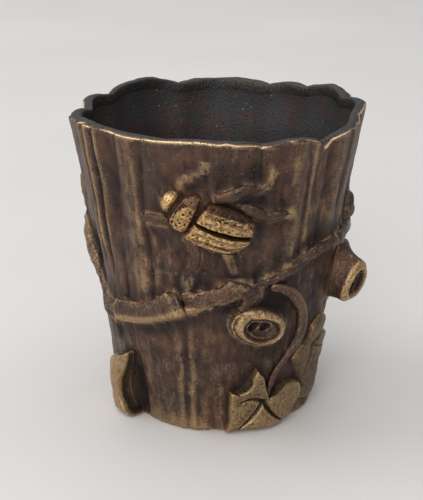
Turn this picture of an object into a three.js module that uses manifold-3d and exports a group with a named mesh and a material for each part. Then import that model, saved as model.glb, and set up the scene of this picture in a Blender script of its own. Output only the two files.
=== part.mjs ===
// Pen cup cast in the form of a tree stump: a fluted, tapering bark wall with a scalloped rim, a disc
// let into its foot, and the applied castings that are brazed to its outside: a beetle with a body in
// four pieces and six legs, a vine that runs right round, cut branch knots, leaves and a bud pair.
//
// Units are millimetres, +Z is up, and the stump's axis is Z. The foot plane is z = 0. Angles round the
// stump are in degrees from the front (-Y), positive towards the right (+X).
import * as THREE from "three";
import { mergeVertices } from "three/addons/utils/BufferGeometryUtils.js";
import Module from "manifold-3d";

const wasm = await Module();
wasm.setup();

// ---- Driving dimensions -------------------------------------------------------------------------
const HEIGHT = 105; // foot plane to the mean rim
const FOOT_RADIUS = 36.3; // bark at the foot
const RIM_RADIUS = 50; // bark at the rim
const WAIST = 0.23; // how far the flanks curve in between foot and rim
const WALL = 4.2; // casting thickness
const RIM_FALL = 0.5; // the rim's outer edge lies this far below its inner edge
const RIM_EDGE = 0.5; // softening of the rim's outer edge
const BRAZE_GAP = 0.3; // clearance at every brazed seat
const SINK = 1.6; // how deep a raw ornament reaches into the bark before it is trimmed

const PLATE_RADIUS = 32.6; // disc that closes the foot
const PLATE_THICKNESS = 3.6;
const LEDGE = 1.3; // step in the wall that the disc butts against

// Bark lobes: each starts at a crease and crests between it and the next one.
// start: angle of the crease; crease and crest: rim height there above HEIGHT.
const LOBES = [
  { start: -75, crease: -1.4, crest: 1.2 },
  { start: -42, crease: 0.2, crest: 0.9 },
  { start: 16, crease: -1.4, crest: 0.0 },
  { start: 44, crease: -4.6, crest: -0.6 },
  { start: 76, crease: 0.6, crest: 3.2 },
  { start: 104, crease: 0.6, crest: 3.2 },
  { start: 134, crease: 0.4, crest: 1.4 },
  { start: 154, crease: -0.5, crest: 1.1 },
  { start: 198, crease: -0.5, crest: 2.8 },
  { start: 236, crease: -1.0, crest: 0.4 },
  { start: 257, crease: -3.6, crest: -1.2 },
];
const LOBE_DEPTH = { rim: 1.9, waist: 0.8, foot: 1.2 }; // crest over crease, at three heights
const LOBE_MEAN = 0.7; // share of the lobe depth that lies inside the mean radius

const SECTORS = 88; // facets round the stump
const WALL_ROWS = 11; // facets up the outside
const BORE_ROWS = 6; // facets up the inside

// ---- Finishes -----------------------------------------------------------------------------------
const finish = (color, roughness, metalness) =>
  new THREE.MeshStandardMaterial({ color, roughness, metalness });
const BARK = finish(0x4b392b, 0.55, 0.7);
const RUBBED = finish(0xa9834a, 0.4, 0.85);
const ORNAMENT = finish(0x6b5236, 0.5, 0.75);
const DARK = finish(0x2b2a29, 0.6, 0.6);

// ---- The stump's surface ------------------------------------------------------------------------
const radians = THREE.MathUtils.degToRad;
const clamp01 = (x) => THREE.MathUtils.clamp(x, 0, 1);

function lobeAt(angle) {
  const first = LOBES[0].start;
  const turned = first + THREE.MathUtils.euclideanModulo(angle - first, 360);
  const index = LOBES.findLastIndex((lobe) => lobe.start <= turned);
  const lobe = LOBES[index];
  const next = LOBES[(index + 1) % LOBES.length];
  const end = index + 1 < LOBES.length ? next.start : first + 360;
  const along = (turned - lobe.start) / (end - lobe.start);
  return { lobe, next, along, bulge: Math.sin(Math.PI * along) ** 0.6 };
}

function lobeDepth(z) {
  const share = clamp01(z / HEIGHT);
  const upper = THREE.MathUtils.smoothstep(share, 0.45, 1);
  const lower = 1 - THREE.MathUtils.smoothstep(share, 0, 0.4);
  const { rim, waist, foot } = LOBE_DEPTH;
  return waist + (rim - waist) * upper + (foot - waist) * lower;
}

function meanRadius(z) {
  const share = z / HEIGHT;
  return FOOT_RADIUS + (RIM_RADIUS - FOOT_RADIUS) * (share - WAIST * share * (1 - share));
}

function barkRadius(angle, z) {
  return meanRadius(z) + lobeDepth(z) * (lobeAt(angle).bulge - LOBE_MEAN);
}

function rimHeight(angle) {
  const { lobe, next, along, bulge } = lobeAt(angle);
  const floor = THREE.MathUtils.lerp(lobe.crease, next.crease, along);
  return HEIGHT + floor + (lobe.crest - floor) * bulge;
}

// The point at that angle and height, this far out from the bark.
function onBark(angle, z, out) {
  const radius = barkRadius(angle, z) + out;
  const a = radians(angle);
  return new THREE.Vector3(radius * Math.sin(a), -radius * Math.cos(a), z);
}

// ---- Solids -------------------------------------------------------------------------------------
function solidOf(geometry) {
  const bare = geometry.clone();
  for (const name of Object.keys(bare.attributes)) {
    if (name !== "position") bare.deleteAttribute(name);
  }
  const merged = mergeVertices(bare, 1e-4);
  const corners = [];
  for (let i = 0; i < merged.index.count; i += 3) {
    const triangle = [0, 1, 2].map((k) => merged.index.getX(i + k));
    if (new Set(triangle).size === 3) corners.push(...triangle); // drops those flattened at an axis
  }
  const mesh = new wasm.Mesh({
    numProp: 3,
    vertProperties: new Float32Array(merged.attributes.position.array),
    triVerts: new Uint32Array(corners),
  });
  return new wasm.Manifold(mesh);
}

function geometryOf(solid) {
  const mesh = solid.getMesh();
  const position = new Float32Array(mesh.vertProperties);
  const geometry = new THREE.BufferGeometry();
  geometry.setAttribute("position", new THREE.BufferAttribute(position, 3));
  geometry.setIndex(new THREE.BufferAttribute(new Uint32Array(mesh.triVerts), 1));
  geometry.computeVertexNormals();
  return geometry;
}

// Moves every vertex of a geometry to where move(vertex) says.
function reshape(geometry, move) {
  const position = geometry.attributes.position;
  const vertex = new THREE.Vector3();
  for (let i = 0; i < position.count; i++) {
    vertex.fromBufferAttribute(position, i);
    const moved = move(vertex);
    position.setXYZ(i, moved.x, moved.y, moved.z);
  }
  return geometry;
}

// A lathed ring whose profile changes with the angle: profileAt(angle) gives [radius, z] pairs, the
// same number at every angle, that run anticlockwise round a closed section.
function ring(profileAt) {
  const sample = profileAt(0);
  const loop = [...sample, sample[0]];
  const section = loop.map(([radius, z]) => new THREE.Vector2(radius, z));
  const lathe = new THREE.LatheGeometry(section, SECTORS);
  const position = lathe.attributes.position;
  for (let sector = 0; sector <= SECTORS; sector++) {
    const angle = (360 * (sector % SECTORS)) / SECTORS;
    const profile = profileAt(angle);
    for (let k = 0; k < loop.length; k++) {
      const [radius, z] = profile[k % profile.length];
      const a = radians(angle);
      position.setXYZ(sector * loop.length + k, radius * Math.sin(a), -radius * Math.cos(a), z);
    }
  }
  return lathe;
}

// The bark as a plain closed plug, grown outwards, which trims the back of every ornament.
function barkPlug(grow) {
  const top = HEIGHT + 12;
  return ring((angle) => {
    const profile = [[1, -20]];
    for (let row = 0; row <= WALL_ROWS; row++) {
      const z = (rimHeight(angle) * row) / WALL_ROWS;
      profile.push([barkRadius(angle, z) + grow, row ? z : -20]);
    }
    profile.push([barkRadius(angle, HEIGHT) + grow, top], [1, top]);
    return profile;
  });
}

function trunkWall() {
  const shoulder = PLATE_THICKNESS + BRAZE_GAP;
  return ring((angle) => {
    const top = rimHeight(angle);
    const profile = [];
    for (let row = 0; row < WALL_ROWS; row++) {
      const z = (top * row) / WALL_ROWS;
      profile.push([barkRadius(angle, z), z]);
    }
    const outer = barkRadius(angle, top);
    profile.push([outer, top - RIM_FALL - RIM_EDGE], [outer - RIM_EDGE, top - RIM_FALL]);
    for (let row = BORE_ROWS; row > 0; row--) {
      const z = shoulder + ((top - shoulder) * row) / BORE_ROWS;
      profile.push([barkRadius(angle, z) - WALL, z]);
    }
    const seat = PLATE_RADIUS + BRAZE_GAP;
    profile.push([seat - LEDGE, shoulder], [seat, shoulder], [seat, 0]);
    return profile;
  });
}

function basePlate() {
  const plate = new THREE.CylinderGeometry(PLATE_RADIUS, PLATE_RADIUS, PLATE_THICKNESS, 64);
  return plate.rotateX(Math.PI / 2).translate(0, 0, PLATE_THICKNESS / 2);
}

// Lays a flat ornament on the bark. Flat x runs to the right, flat y up and flat z outwards; seat
// gives the angle and height of the flat origin and turn, in degrees, how it is turned.
function lay(geometry, seat) {
  const turn = radians(seat.turn ?? 0);
  const perDegree = radians(meanRadius(seat.z));
  return reshape(geometry, (v) => {
    const across = v.x * Math.cos(turn) - v.y * Math.sin(turn);
    const up = v.x * Math.sin(turn) + v.y * Math.cos(turn);
    return onBark(seat.angle + across / perDegree, seat.z + up, v.z);
  });
}

// A rounded tube along stations of [angle, z, out, radius], bent from a straight cylinder.
function stem(stations, { around = 10, along = 14, grow = 0 } = {}) {
  const curve = new THREE.CatmullRomCurve3(stations.map(([a, z, out]) => onBark(a, z, out)));
  const last = stations.length - 1;
  const thickness = (t) => {
    const at = t * last;
    const from = Math.min(Math.floor(at), last - 1);
    const radius = THREE.MathUtils.lerp(stations[from][3], stations[from + 1][3], at - from);
    return radius + grow;
  };
  const tube = new THREE.CylinderGeometry(1, 1, 1, around, along);
  return reshape(tube, (v) => {
    const t = clamp01(v.y + 0.5);
    const centre = curve.getPoint(t);
    const forward = curve.getTangent(t);
    const outward = new THREE.Vector3(centre.x, centre.y, 0).normalize();
    const side = new THREE.Vector3().crossVectors(outward, forward).normalize();
    const end = Math.sqrt(1 - Math.abs(2 * t - 1) ** 20 * 0.6);
    const radius = thickness(t) * end;
    return centre
      .addScaledVector(outward, v.x * radius)
      .addScaledVector(side, v.z * radius)
      .addScaledVector(forward, (t < 0.5 ? -grow : grow) * (t < 0.01 || t > 0.99 ? 1 : 0));
  });
}

// A pad with a free outline, laid on the bark. edge: the closed outline as flat [x, y] stations round
// the heart; top(share, x, y): height above the bark, where share runs from 0 at the heart to 1 at
// the edge. It is a sphere whose pole points outwards.
function pad({ edge, heart = [0, 0], top, seat, around = 30, rings = 10 }) {
  const middle = new THREE.Vector3(heart[0], heart[1], 0);
  const points = edge.map(([x, y]) => new THREE.Vector3(x, y, 0));
  const curve = new THREE.CatmullRomCurve3(points, true, "centripetal");
  return (grow) => {
    const ball = new THREE.SphereGeometry(1, around, rings);
    reshape(ball, (v) => {
      const share = Math.min(1, Math.hypot(v.x, v.z));
      const turn = share < 1e-6 ? 0 : Math.atan2(-v.z, v.x) / (2 * Math.PI);
      const reach = curve.getPoint(THREE.MathUtils.euclideanModulo(turn, 1)).sub(middle);
      reach.setLength(reach.length() + grow).multiplyScalar(share).add(middle);
      reach.z = v.y > -1e-6 ? top(share, reach.x, reach.y) + grow : -SINK;
      return reach;
    });
    return lay(ball, seat);
  };
}

// ---- Beetle -------------------------------------------------------------------------------------
// Modelled along flat x, from the head at -x to the tips of the wing cases at +x; y = 0 is the seam
// between the wing cases. The outlines run anticlockwise.
const BEETLE_SEAT = { angle: -8, z: 80.6, turn: -21.4 };
const domed = (rise, squareness) => (share) =>
  0.9 + (rise - 0.9) * Math.sqrt(Math.max(0, 1 - share ** squareness));

const BEETLE_PARTS = {
  beetle_head: {
    edge: [
      [-6.8, 5.2], [-7.7, 6.8], [-9.6, 6.7], [-11.5, 5.1], [-12.3, 1.7], [-10.2, -1.6],
      [-8.2, -1.2], [-7.6, 1.5],
    ],
    heart: [-9.4, 2.6],
    rise: 4.2,
  },
  beetle_thorax: {
    edge: [
      [-1.0, 0.5], [-0.9, 5.0], [-1.0, 8.3], [-3.2, 8.6], [-5.5, 6.8], [-6.7, 2.0], [-7.3, -2.8],
      [-5.2, -5.2], [-2.6, -5.4], [-1.3, -3.9],
    ],
    heart: [-3.9, 1.4],
    rise: 4.9,
  },
  beetle_wing_case_left: {
    edge: [
      [9.0, -0.5], [0.3, -0.5], [0.0, -3.4], [0.9, -5.9], [5.0, -7.2], [9.5, -7.4], [13.5, -6.5],
      [16.6, -4.8], [18.4, -2.4], [18.4, -0.5],
    ],
    heart: [8.6, -2.6],
    rise: 5.4,
  },
  beetle_wing_case_right: {
    edge: [
      [18.4, 0.5], [18.4, 2.4], [16.6, 4.8], [13.5, 6.5], [9.5, 7.4], [5.0, 7.4], [0.9, 6.3],
      [0.0, 3.6], [0.3, 0.5], [9.0, 0.5],
    ],
    heart: [8.6, 2.6],
    rise: 5.4,
  },
};

// Stations of [angle, z, out, radius], from the body to the foot.
const LEGS = {
  beetle_leg_front_left: [
    [-18.0, 79.4, 1.0, 1.7], [-23.5, 79.6, 1.3, 1.9], [-28.4, 79.3, 1.0, 1.6],
    [-31.4, 76.4, 0.4, 0.9],
  ],
  beetle_leg_middle_left: [
    [-11.6, 75.0, 1.0, 1.5], [-9.2, 70.2, 1.5, 1.8], [-9.2, 65.8, 1.2, 1.6],
    [-12.2, 61.0, 0.9, 1.3], [-13.9, 54.9, 0.4, 0.9],
  ],
  beetle_leg_hind_left: [[2.4, 71.4, 0.7, 1.1], [4.8, 66.4, 0.6, 0.9], [7.0, 61.6, 0.3, 0.7]],
  beetle_leg_front_right: [
    [-10.8, 89.8, 0.6, 1.0], [-13.6, 92.8, 0.6, 0.9], [-9.0, 95.2, 0.6, 0.9],
    [-4.8, 97.4, 0.3, 0.7],
  ],
  beetle_leg_middle_right: [
    [-2.6, 87.4, 1.2, 1.5], [4.6, 88.2, 1.6, 2.0], [10.6, 89.8, 1.3, 1.7], [15.6, 89.8, 0.9, 1.2],
    [21.0, 94.0, 0.4, 0.8],
  ],
  beetle_leg_hind_right: [
    [8.0, 84.8, 1.4, 1.6], [12.6, 83.0, 1.7, 2.1], [18.0, 80.8, 1.2, 1.6], [23.6, 80.2, 0.9, 1.2],
    [29.6, 80.0, 0.4, 0.8],
  ],
};

// ---- Vine ---------------------------------------------------------------------------------------
const VINE = {
  vine_left: [
    [-51.6, 40.2, 1.3, 2.9], [-61, 40.6, 0.2, 3.0], [-70, 43.6, -0.8, 3.0], [-78, 48.6, -1.0, 3.0],
    [-84, 54.2, -0.8, 2.9], [-88.6, 60.0, -0.8, 2.8], [-92.6, 66.0, -0.8, 2.7],
  ],
  vine_front_left: [
    [-50.6, 40.2, 1.3, 2.9], [-42, 41.6, 1.4, 2.8], [-32, 43.4, 1.4, 2.6], [-24, 45.8, 1.6, 2.9],
    [-18.4, 48.0, 1.8, 3.4], [-14.0, 49.2, 1.5, 2.9],
  ],
  vine_front: [
    [-12.9, 49.4, 1.3, 2.5], [-8, 50.3, 1.1, 2.3], [-1, 52.0, 0.9, 2.2], [6, 53.4, 0.8, 2.2],
    [13, 54.0, 1.0, 2.1],
  ],
  vine_front_right: [
    [19, 56.8, 0.6, 1.3], [25, 58.4, 0.9, 1.7], [34, 61.0, 1.1, 1.9], [44, 63.8, 1.3, 2.2],
    [51, 64.8, 1.2, 2.1], [58.4, 65.0, 1.1, 2.2],
  ],
  vine_right: [
    [59.4, 65.0, 1.1, 2.2], [72, 64.6, 1.0, 2.4], [90, 63.4, 1.0, 2.6], [108, 64.8, 1.1, 2.7],
    [124.6, 67.4, 1.2, 2.8],
  ],
  vine_back: [
    [125.4, 67.5, 1.2, 2.8], [144, 70.4, 1.3, 2.9], [162, 71.6, 1.3, 3.0], [180, 71.0, 1.3, 3.0],
    [199.6, 70.4, 1.3, 2.9],
  ],
  vine_back_left: [
    [200.4, 70.4, 1.3, 2.9], [220, 71.4, 1.3, 2.9], [240, 73.4, 1.2, 2.8], [254, 73.8, 1.0, 2.7],
    [265.0, 72.6, 0.6, 2.6],
  ],
};

const TENDRILS = {
  tendril_front: [
    [23.4, 55.4, 0.5, 1.4],
    [29.8, 54.0, 0.5, 1.6],
    [36.4, 50.2, 0.6, 1.9],
    [41.6, 44.6, 0.6, 2.1],
    [44.4, 37.4, 0.6, 2.1],
    [42.4, 31.4, 0.6, 1.9],
    [36.0, 27.0, 0.6, 1.4],
    [30.4, 22.6, 0.8, 1.1],
    [27.0, 16.8, 1.2, 1.0],
    [25.2, 13.2, 1.6, 0.9],
  ],
};

// ---- Leaves -------------------------------------------------------------------------------------
// heart: where the veins meet, [angle, z]; edge: the outline, anticlockwise; veins: where the
// valleys end that run out from the heart between the leaflets.
const LEAVES = {
  leaf_front: {
    heart: [23.6, 11.6],
    edge: [
      [41, 15.6], [34, 16.8], [29.4, 15.2], [26, 12.8], [23.8, 17.4], [22.2, 22.6], [19.2, 24.8],
      [16.8, 21.8], [13, 17.4], [9.4, 16.2], [6.0, 16.8], [5.6, 11], [5.6, 5], [4.0, 0.6],
      [12, 0.4], [24, 0.4], [35, 0.7], [40.6, 2.4], [43.0, 6.4], [47.6, 8.6], [49.2, 11.8],
      [46, 14.2],
    ],
    veins: [[12, 12.6], [10, 1], [36, 1.6]],
    rise: 3.4,
  },
  leaf_right: {
    heart: [54, 27.6],
    edge: [
      [76, 26.8], [66, 30], [68, 35.4], [60, 37.6], [52.6, 35], [50.4, 30.6], [44.6, 28.8],
      [40.6, 24.6], [43.2, 19.6], [47.0, 15.6], [49.2, 12], [50.0, 6.2], [56, 4.6], [62, 4.6],
      [65, 10.6], [64.4, 17.6], [74, 20.4],
    ],
    veins: [[67, 33.2], [50, 18], [71, 23]],
    rise: 2.6,
  },
  leaf_left: {
    heart: [-100, 73.0],
    edge: [
      [-86.5, 70.4], [-88.6, 74.6], [-85.8, 78.4], [-90, 82.0], [-97, 80], [-104, 84],
      [-109, 78.4], [-116, 75], [-112, 70], [-99, 69.6],
    ],
    veins: [[-88.6, 74.6], [-98, 80], [-109, 78]],
    rise: 1.6,
  },
  leaf_back: {
    heart: [193, 47],
    edge: [
      [200, 55], [195, 61], [191, 66.2], [186, 61], [182, 53], [174, 49], [180, 42], [177, 33],
      [187, 34], [193, 27], [199, 33], [208, 33], [206, 41], [213, 45], [208, 52],
    ],
    veins: [[204, 41], [199, 33], [187, 34], [181, 42]],
    rise: 3.2,
  },
};

// Flat [x, y] of an [angle, z] station, measured from the heart.
function flat([angle, z], heart) {
  return [(angle - heart[0]) * radians(meanRadius(heart[1])), z - heart[1]];
}

// Each leaflet is low in the valleys beside it and proud at its edge.
function leaf({ heart, edge, veins, rise }) {
  const valleys = veins.map((vein) => flat(vein, heart));
  const top = (share, x, y) => {
    const away = valleys.map(([vx, vy]) => {
      const along = clamp01((x * vx + y * vy) / (vx * vx + vy * vy));
      return Math.hypot(x - along * vx, y - along * vy);
    });
    const ridge = 1 - Math.exp(-((Math.min(...away) / 1.4) ** 2));
    return 1.2 + (rise - 1.2) * (0.4 + 0.6 * ridge) * (1 - 0.35 * share ** 8);
  };
  return pad({
    edge: edge.map((station) => flat(station, heart)),
    top,
    seat: { angle: heart[0], z: heart[1] },
    around: edge.length * 2,
    rings: 8,
  });
}

// The folded leaf at the left of the foot: it swells out from the left to a proud edge, and then
// drops steeply on the right.
const FOLDED_LEAF = {
  heart: [-61, 9.2],
  edge: [
    [-53.6, 10], [-52.4, 14.5], [-49.6, 20], [-47.8, 25.6], [-53, 24], [-61, 21.8], [-71, 18],
    [-80, 13.4], [-85, 8.6], [-85, 4.2], [-78, 0.5], [-66, 0.4], [-56, 0.4], [-47.6, 0.5],
    [-50.2, 3.0], [-52.8, 6.4],
  ],
  left: -18,
  rise: 5.6,
};

function foldedLeaf({ heart, edge, left, rise }) {
  const top = (share, x) => {
    const climb = clamp01(1 - x / left) ** 1.2;
    return 1.0 + (rise - 1.0) * climb * Math.sqrt(1 - 0.85 * share ** 6);
  };
  return pad({
    edge: edge.map((station) => flat(station, heart)),
    top,
    seat: { angle: heart[0], z: heart[1] },
    around: edge.length * 3,
  });
}

// ---- Knots and buds -----------------------------------------------------------------------------
// A cut branch stub: a flared root, a raised lip and a sunken heart, stretched to an oval. turn
// turns the oval, lean and droop tilt it from straight outwards.
function knot({ angle, z, turn, lean, droop, wide, tall, stand }) {
  return (grow) => {
    const flare = grow / wide;
    const section = [
      [0, -9],
      [1.24 + flare, -9],
      [1.16 + flare, 0.4],
      [1.04 + flare, stand * 0.5],
      [1.0 + flare, stand - 0.8],
      [0.92, stand + grow],
      [0.78, stand + grow],
      [0.62, stand - 1.4 + grow],
      [0, stand - 1.4 + grow],
    ];
    const profile = section.map(([radius, height]) => new THREE.Vector2(radius, height));
    const stub = new THREE.LatheGeometry(profile, 24);
    stub.scale(wide, 1, tall).rotateX(Math.PI / 2).rotateZ(radians(turn));
    const outward = new THREE.Object3D();
    outward.rotation.set(radians(droop), radians(lean), 0, "YXZ");
    outward.updateMatrix();
    stub.applyMatrix4(outward.matrix);
    stub.rotateX(Math.PI / 2).translate(0, -meanRadius(z), z);
    return stub.rotateZ(radians(angle));
  };
}

const KNOTS = {
  knot_front: { angle: 18.4, z: 41.4, turn: -22, lean: 0, droop: 0, wide: 8.9, tall: 6.2, stand: 4.4 },
  knot_right: { angle: 75, z: 50.2, turn: 82, lean: -25, droop: 15, wide: 7.8, tall: 6.3, stand: 10.4 },
  knot_back: { angle: 146, z: 42, turn: 20, lean: 0, droop: 4, wide: 7.0, tall: 6.0, stand: 6.0 },
};

function bud({ angle, z, turn, long, wide, rise }) {
  const sides = Array.from({ length: 12 }, (_, i) => (i * Math.PI) / 6);
  return pad({
    edge: sides.map((at) => [wide * Math.cos(at), long * Math.sin(at)]),
    top: domed(rise, 2.4),
    seat: { angle, z, turn },
    around: 18,
    rings: 8,
  });
}

const BUDS = {
  bud_upper: { angle: 78.5, z: 73.0, turn: -12, long: 5.6, wide: 3.0, rise: 3.4 },
  bud_lower: { angle: 86, z: 69.6, turn: 14, long: 3.8, wide: 3.0, rise: 3.6 },
};

// ---- Assembly -----------------------------------------------------------------------------------
const stump = new THREE.Group();

function add(name, geometry, material) {
  const mesh = new THREE.Mesh(geometry, material);
  mesh.name = name;
  stump.add(mesh);
}

add("trunk_wall", geometryOf(solidOf(trunkWall())), BARK);
add("base_plate", basePlate(), DARK);

const plug = solidOf(barkPlug(BRAZE_GAP));
const seated = []; // the ornaments so far, each grown by the clearance

// Seats an ornament: its back is trimmed to the bark, and its flanks to every ornament before it.
function seat(name, build, material) {
  let solid = solidOf(build(0)).subtract(plug);
  for (const neighbour of seated) {
    if (solid.intersect(neighbour).volume() > 0) solid = solid.subtract(neighbour);
  }
  const pieces = solid.decompose().sort((a, b) => b.volume() - a.volume());
  add(name, geometryOf(pieces[0]), material);
  seated.push(solidOf(build(BRAZE_GAP)));
}

function seatStems(stems, facets) {
  for (const [name, stations] of Object.entries(stems)) {
    seat(name, (grow) => stem(stations, { ...facets, grow }), ORNAMENT);
  }
}

for (const [name, { edge, heart, rise }] of Object.entries(BEETLE_PARTS)) {
  const top = domed(rise, 3);
  seat(name, pad({ edge, heart, top, seat: BEETLE_SEAT, around: edge.length * 2 }), RUBBED);
}
seatStems(LEGS, { around: 8, along: 9 });
seatStems(VINE, { around: 10, along: 12 });
for (const [name, spec] of Object.entries(KNOTS)) seat(name, knot(spec), ORNAMENT);
for (const [name, spec] of Object.entries(BUDS)) seat(name, bud(spec), ORNAMENT);
for (const [name, spec] of Object.entries(LEAVES)) seat(name, leaf(spec), ORNAMENT);
seat("leaf_folded", foldedLeaf(FOLDED_LEAF), ORNAMENT);
seatStems(TENDRILS, { around: 8, along: 18 });

export default stump;
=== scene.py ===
"""A pen cup cast in bronze as a tree stump, with a beetle, a vine, cut knots and leaves in relief.

Every piece is laid on one stump surface. Angles round the stump are in degrees from the front (-Y),
positive to the right (+X). Sizes inside the classes are millimetres; meshes are written in metres.
"""

from __future__ import annotations

import logging
import math
from collections.abc import Callable, Sequence
from dataclasses import dataclass, field
from enum import Enum

import bpy
import numpy as np
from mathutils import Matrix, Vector, kdtree


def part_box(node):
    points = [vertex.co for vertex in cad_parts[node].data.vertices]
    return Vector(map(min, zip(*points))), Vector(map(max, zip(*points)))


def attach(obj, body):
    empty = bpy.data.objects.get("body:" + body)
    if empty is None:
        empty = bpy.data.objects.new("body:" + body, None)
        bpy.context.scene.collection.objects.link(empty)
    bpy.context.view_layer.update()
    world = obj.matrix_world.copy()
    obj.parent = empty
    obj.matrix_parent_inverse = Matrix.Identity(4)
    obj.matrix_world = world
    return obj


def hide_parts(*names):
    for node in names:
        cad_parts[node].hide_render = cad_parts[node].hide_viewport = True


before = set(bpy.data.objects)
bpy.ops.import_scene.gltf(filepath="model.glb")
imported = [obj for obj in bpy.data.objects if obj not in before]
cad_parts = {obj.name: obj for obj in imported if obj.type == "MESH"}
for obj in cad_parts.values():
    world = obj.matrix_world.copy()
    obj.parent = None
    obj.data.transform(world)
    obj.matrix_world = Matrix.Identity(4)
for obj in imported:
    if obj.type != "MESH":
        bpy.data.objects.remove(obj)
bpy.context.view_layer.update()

log = logging.getLogger("stump_cup")

Array = np.ndarray
Station = tuple[float, float, float, float]
Point = tuple[float, float]
Triple = tuple[float, float, float]

MILLIMETRE = 0.001
SAME_PLACE = 1e-6  # Metres; closer than this is one point.
CAD_TOP = 108.2  # Millimetres; the height of the bark wall's highest crest.


# ---- Small numeric tools ----


def clamp(values: Array | float, low: float = 0.0, high: float = 1.0) -> Array:
    """Returns the values held between low and high."""
    return np.clip(values, low, high)


def smooth(values: Array | float, start: float, end: float) -> Array:
    """Returns a soft step that is 0 before start and 1 after end."""
    t = clamp((np.asarray(values, float) - start) / (end - start))
    return t * t * (3.0 - 2.0 * t)


def bell(values: Array | float, width: float) -> Array:
    """Returns a bell curve of that half-width, 1 at zero."""
    return np.exp(-((np.asarray(values, float) / width) ** 2))


def turned(angle: Array | float, centre: float) -> Array:
    """Returns the angle measured from centre, between -180 and 180 degrees."""
    return (np.asarray(angle, float) - centre + 180.0) % 360.0 - 180.0


def noise(u: Array, v: Array, seed: int, wrap: int = 256) -> Array:
    """Smooth repeatable noise.

    Args:
        u: First coordinate in cells. The pattern closes on itself after wrap cells.
        v: Second coordinate in cells.
        seed: Which pattern.
        wrap: Cells before the pattern repeats along u.

    Returns:
        Values between -1 and 1.
    """
    source = np.random.RandomState(seed)
    shuffle = source.permutation(256)
    heights = source.uniform(-1.0, 1.0, 256)
    i, j = np.floor(u).astype(int), np.floor(v).astype(int)
    fu, fv = u - i, v - j
    su, sv = fu * fu * (3 - 2 * fu), fv * fv * (3 - 2 * fv)

    def at(a: Array, b: Array) -> Array:
        """Returns the lattice height at cell a, b."""
        return heights[shuffle[(shuffle[(a % wrap) % 256] + b) % 256]]

    low = at(i, j) * (1 - su) + at(i + 1, j) * su
    high = at(i, j + 1) * (1 - su) + at(i + 1, j + 1) * su
    return low * (1 - sv) + high * sv


def catmull(points: Array, where: Array, closed: bool = False) -> Array:
    """Evaluates a smooth curve through the rows of points.

    Args:
        points: One row per station.
        where: Positions from 0 to 1 along the curve.
        closed: Whether the last station joins the first.

    Returns:
        One row per position.
    """
    count = len(points)
    spans = count if closed else count - 1
    at = clamp(where, 0.0, 1.0) * spans
    i = np.minimum(np.floor(at).astype(int), spans - 1)
    t = (at - i)[:, None]

    def row(k: Array) -> Array:
        """Returns the stations at k, wrapped or held at the ends."""
        return points[k % count] if closed else points[np.clip(k, 0, count - 1)]

    a, b, c, d = row(i - 1), row(i), row(i + 1), row(i + 2)
    return 0.5 * (
        2 * b + (c - a) * t + (2 * a - 5 * b + 4 * c - d) * t**2 + (3 * b - a - 3 * c + d) * t**3
    )


def outline(points: Array, where: Array, firm: float) -> Array:
    """Evaluates a closed outline whose corners are eased.

    Args:
        points: One row per corner.
        where: Positions from 0 to 1 round the outline.
        firm: 1 keeps the corners sharp, 0 rounds them fully.

    Returns:
        One row per position.
    """
    count = len(points)
    at = (where % 1.0) * count
    i = np.floor(at).astype(int)
    t = (at - i)[:, None]
    straight = points[i % count] * (1 - t) + points[(i + 1) % count] * t
    return firm * straight + (1 - firm) * catmull(points, where % 1.0, closed=True)


def oval(wide: float, long: float, stations: int) -> list[Point]:
    """Returns the stations of an oval, anticlockwise, with half-widths wide along x and long along y."""
    turns = np.arange(stations) * np.pi / (stations // 2)
    return [(wide * math.cos(t), long * math.sin(t)) for t in turns]


# ---- The stump's surface ----


@dataclass(frozen=True)
class Lobe:
    """One bark lobe, from the crease at start to the next lobe.

    Attributes:
        start: Angle of the crease.
        crease: Rim height there above the mean rim.
        crest: Rim height at the middle of the lobe.
    """

    start: float
    crease: float
    crest: float


@dataclass(frozen=True)
class Flute:
    """A groove (positive depth) or ridge (negative depth) that runs up the bark."""

    angle: float
    width: float
    depth: float
    low: float = -10.0
    high: float = 130.0
    lean: float = 0.0

    def profile(self, angle: Array, z: Array) -> Array:
        """Works out how strongly the flute shows at each place, from 0 to 1.

        Args:
            angle: Angles round the stump.
            z: Heights.

        Returns:
            How strongly the flute shows at each place, from 0 to 1.
        """
        sway = self.lean * (z - 52.0) / 52.0 + 0.5 * np.sin(z * 0.11 + self.angle)
        ends = smooth(z, self.low - 5, self.low + 7) * (1 - smooth(z, self.high - 7, self.high + 5))
        return bell(turned(angle, self.angle + sway), self.width) * ends


@dataclass(frozen=True)
class Dish:
    """A soft round hollow (positive depth) or swelling (negative depth) in the bark."""

    angle: float
    z: float
    wide: float
    tall: float
    depth: float

    def profile(self, angle: Array, z: Array) -> Array:
        """Returns how strongly the dish shows at each place, from 0 to 1."""
        return bell(turned(angle, self.angle), self.wide) * bell(np.asarray(z, float) - self.z, self.tall)


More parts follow.
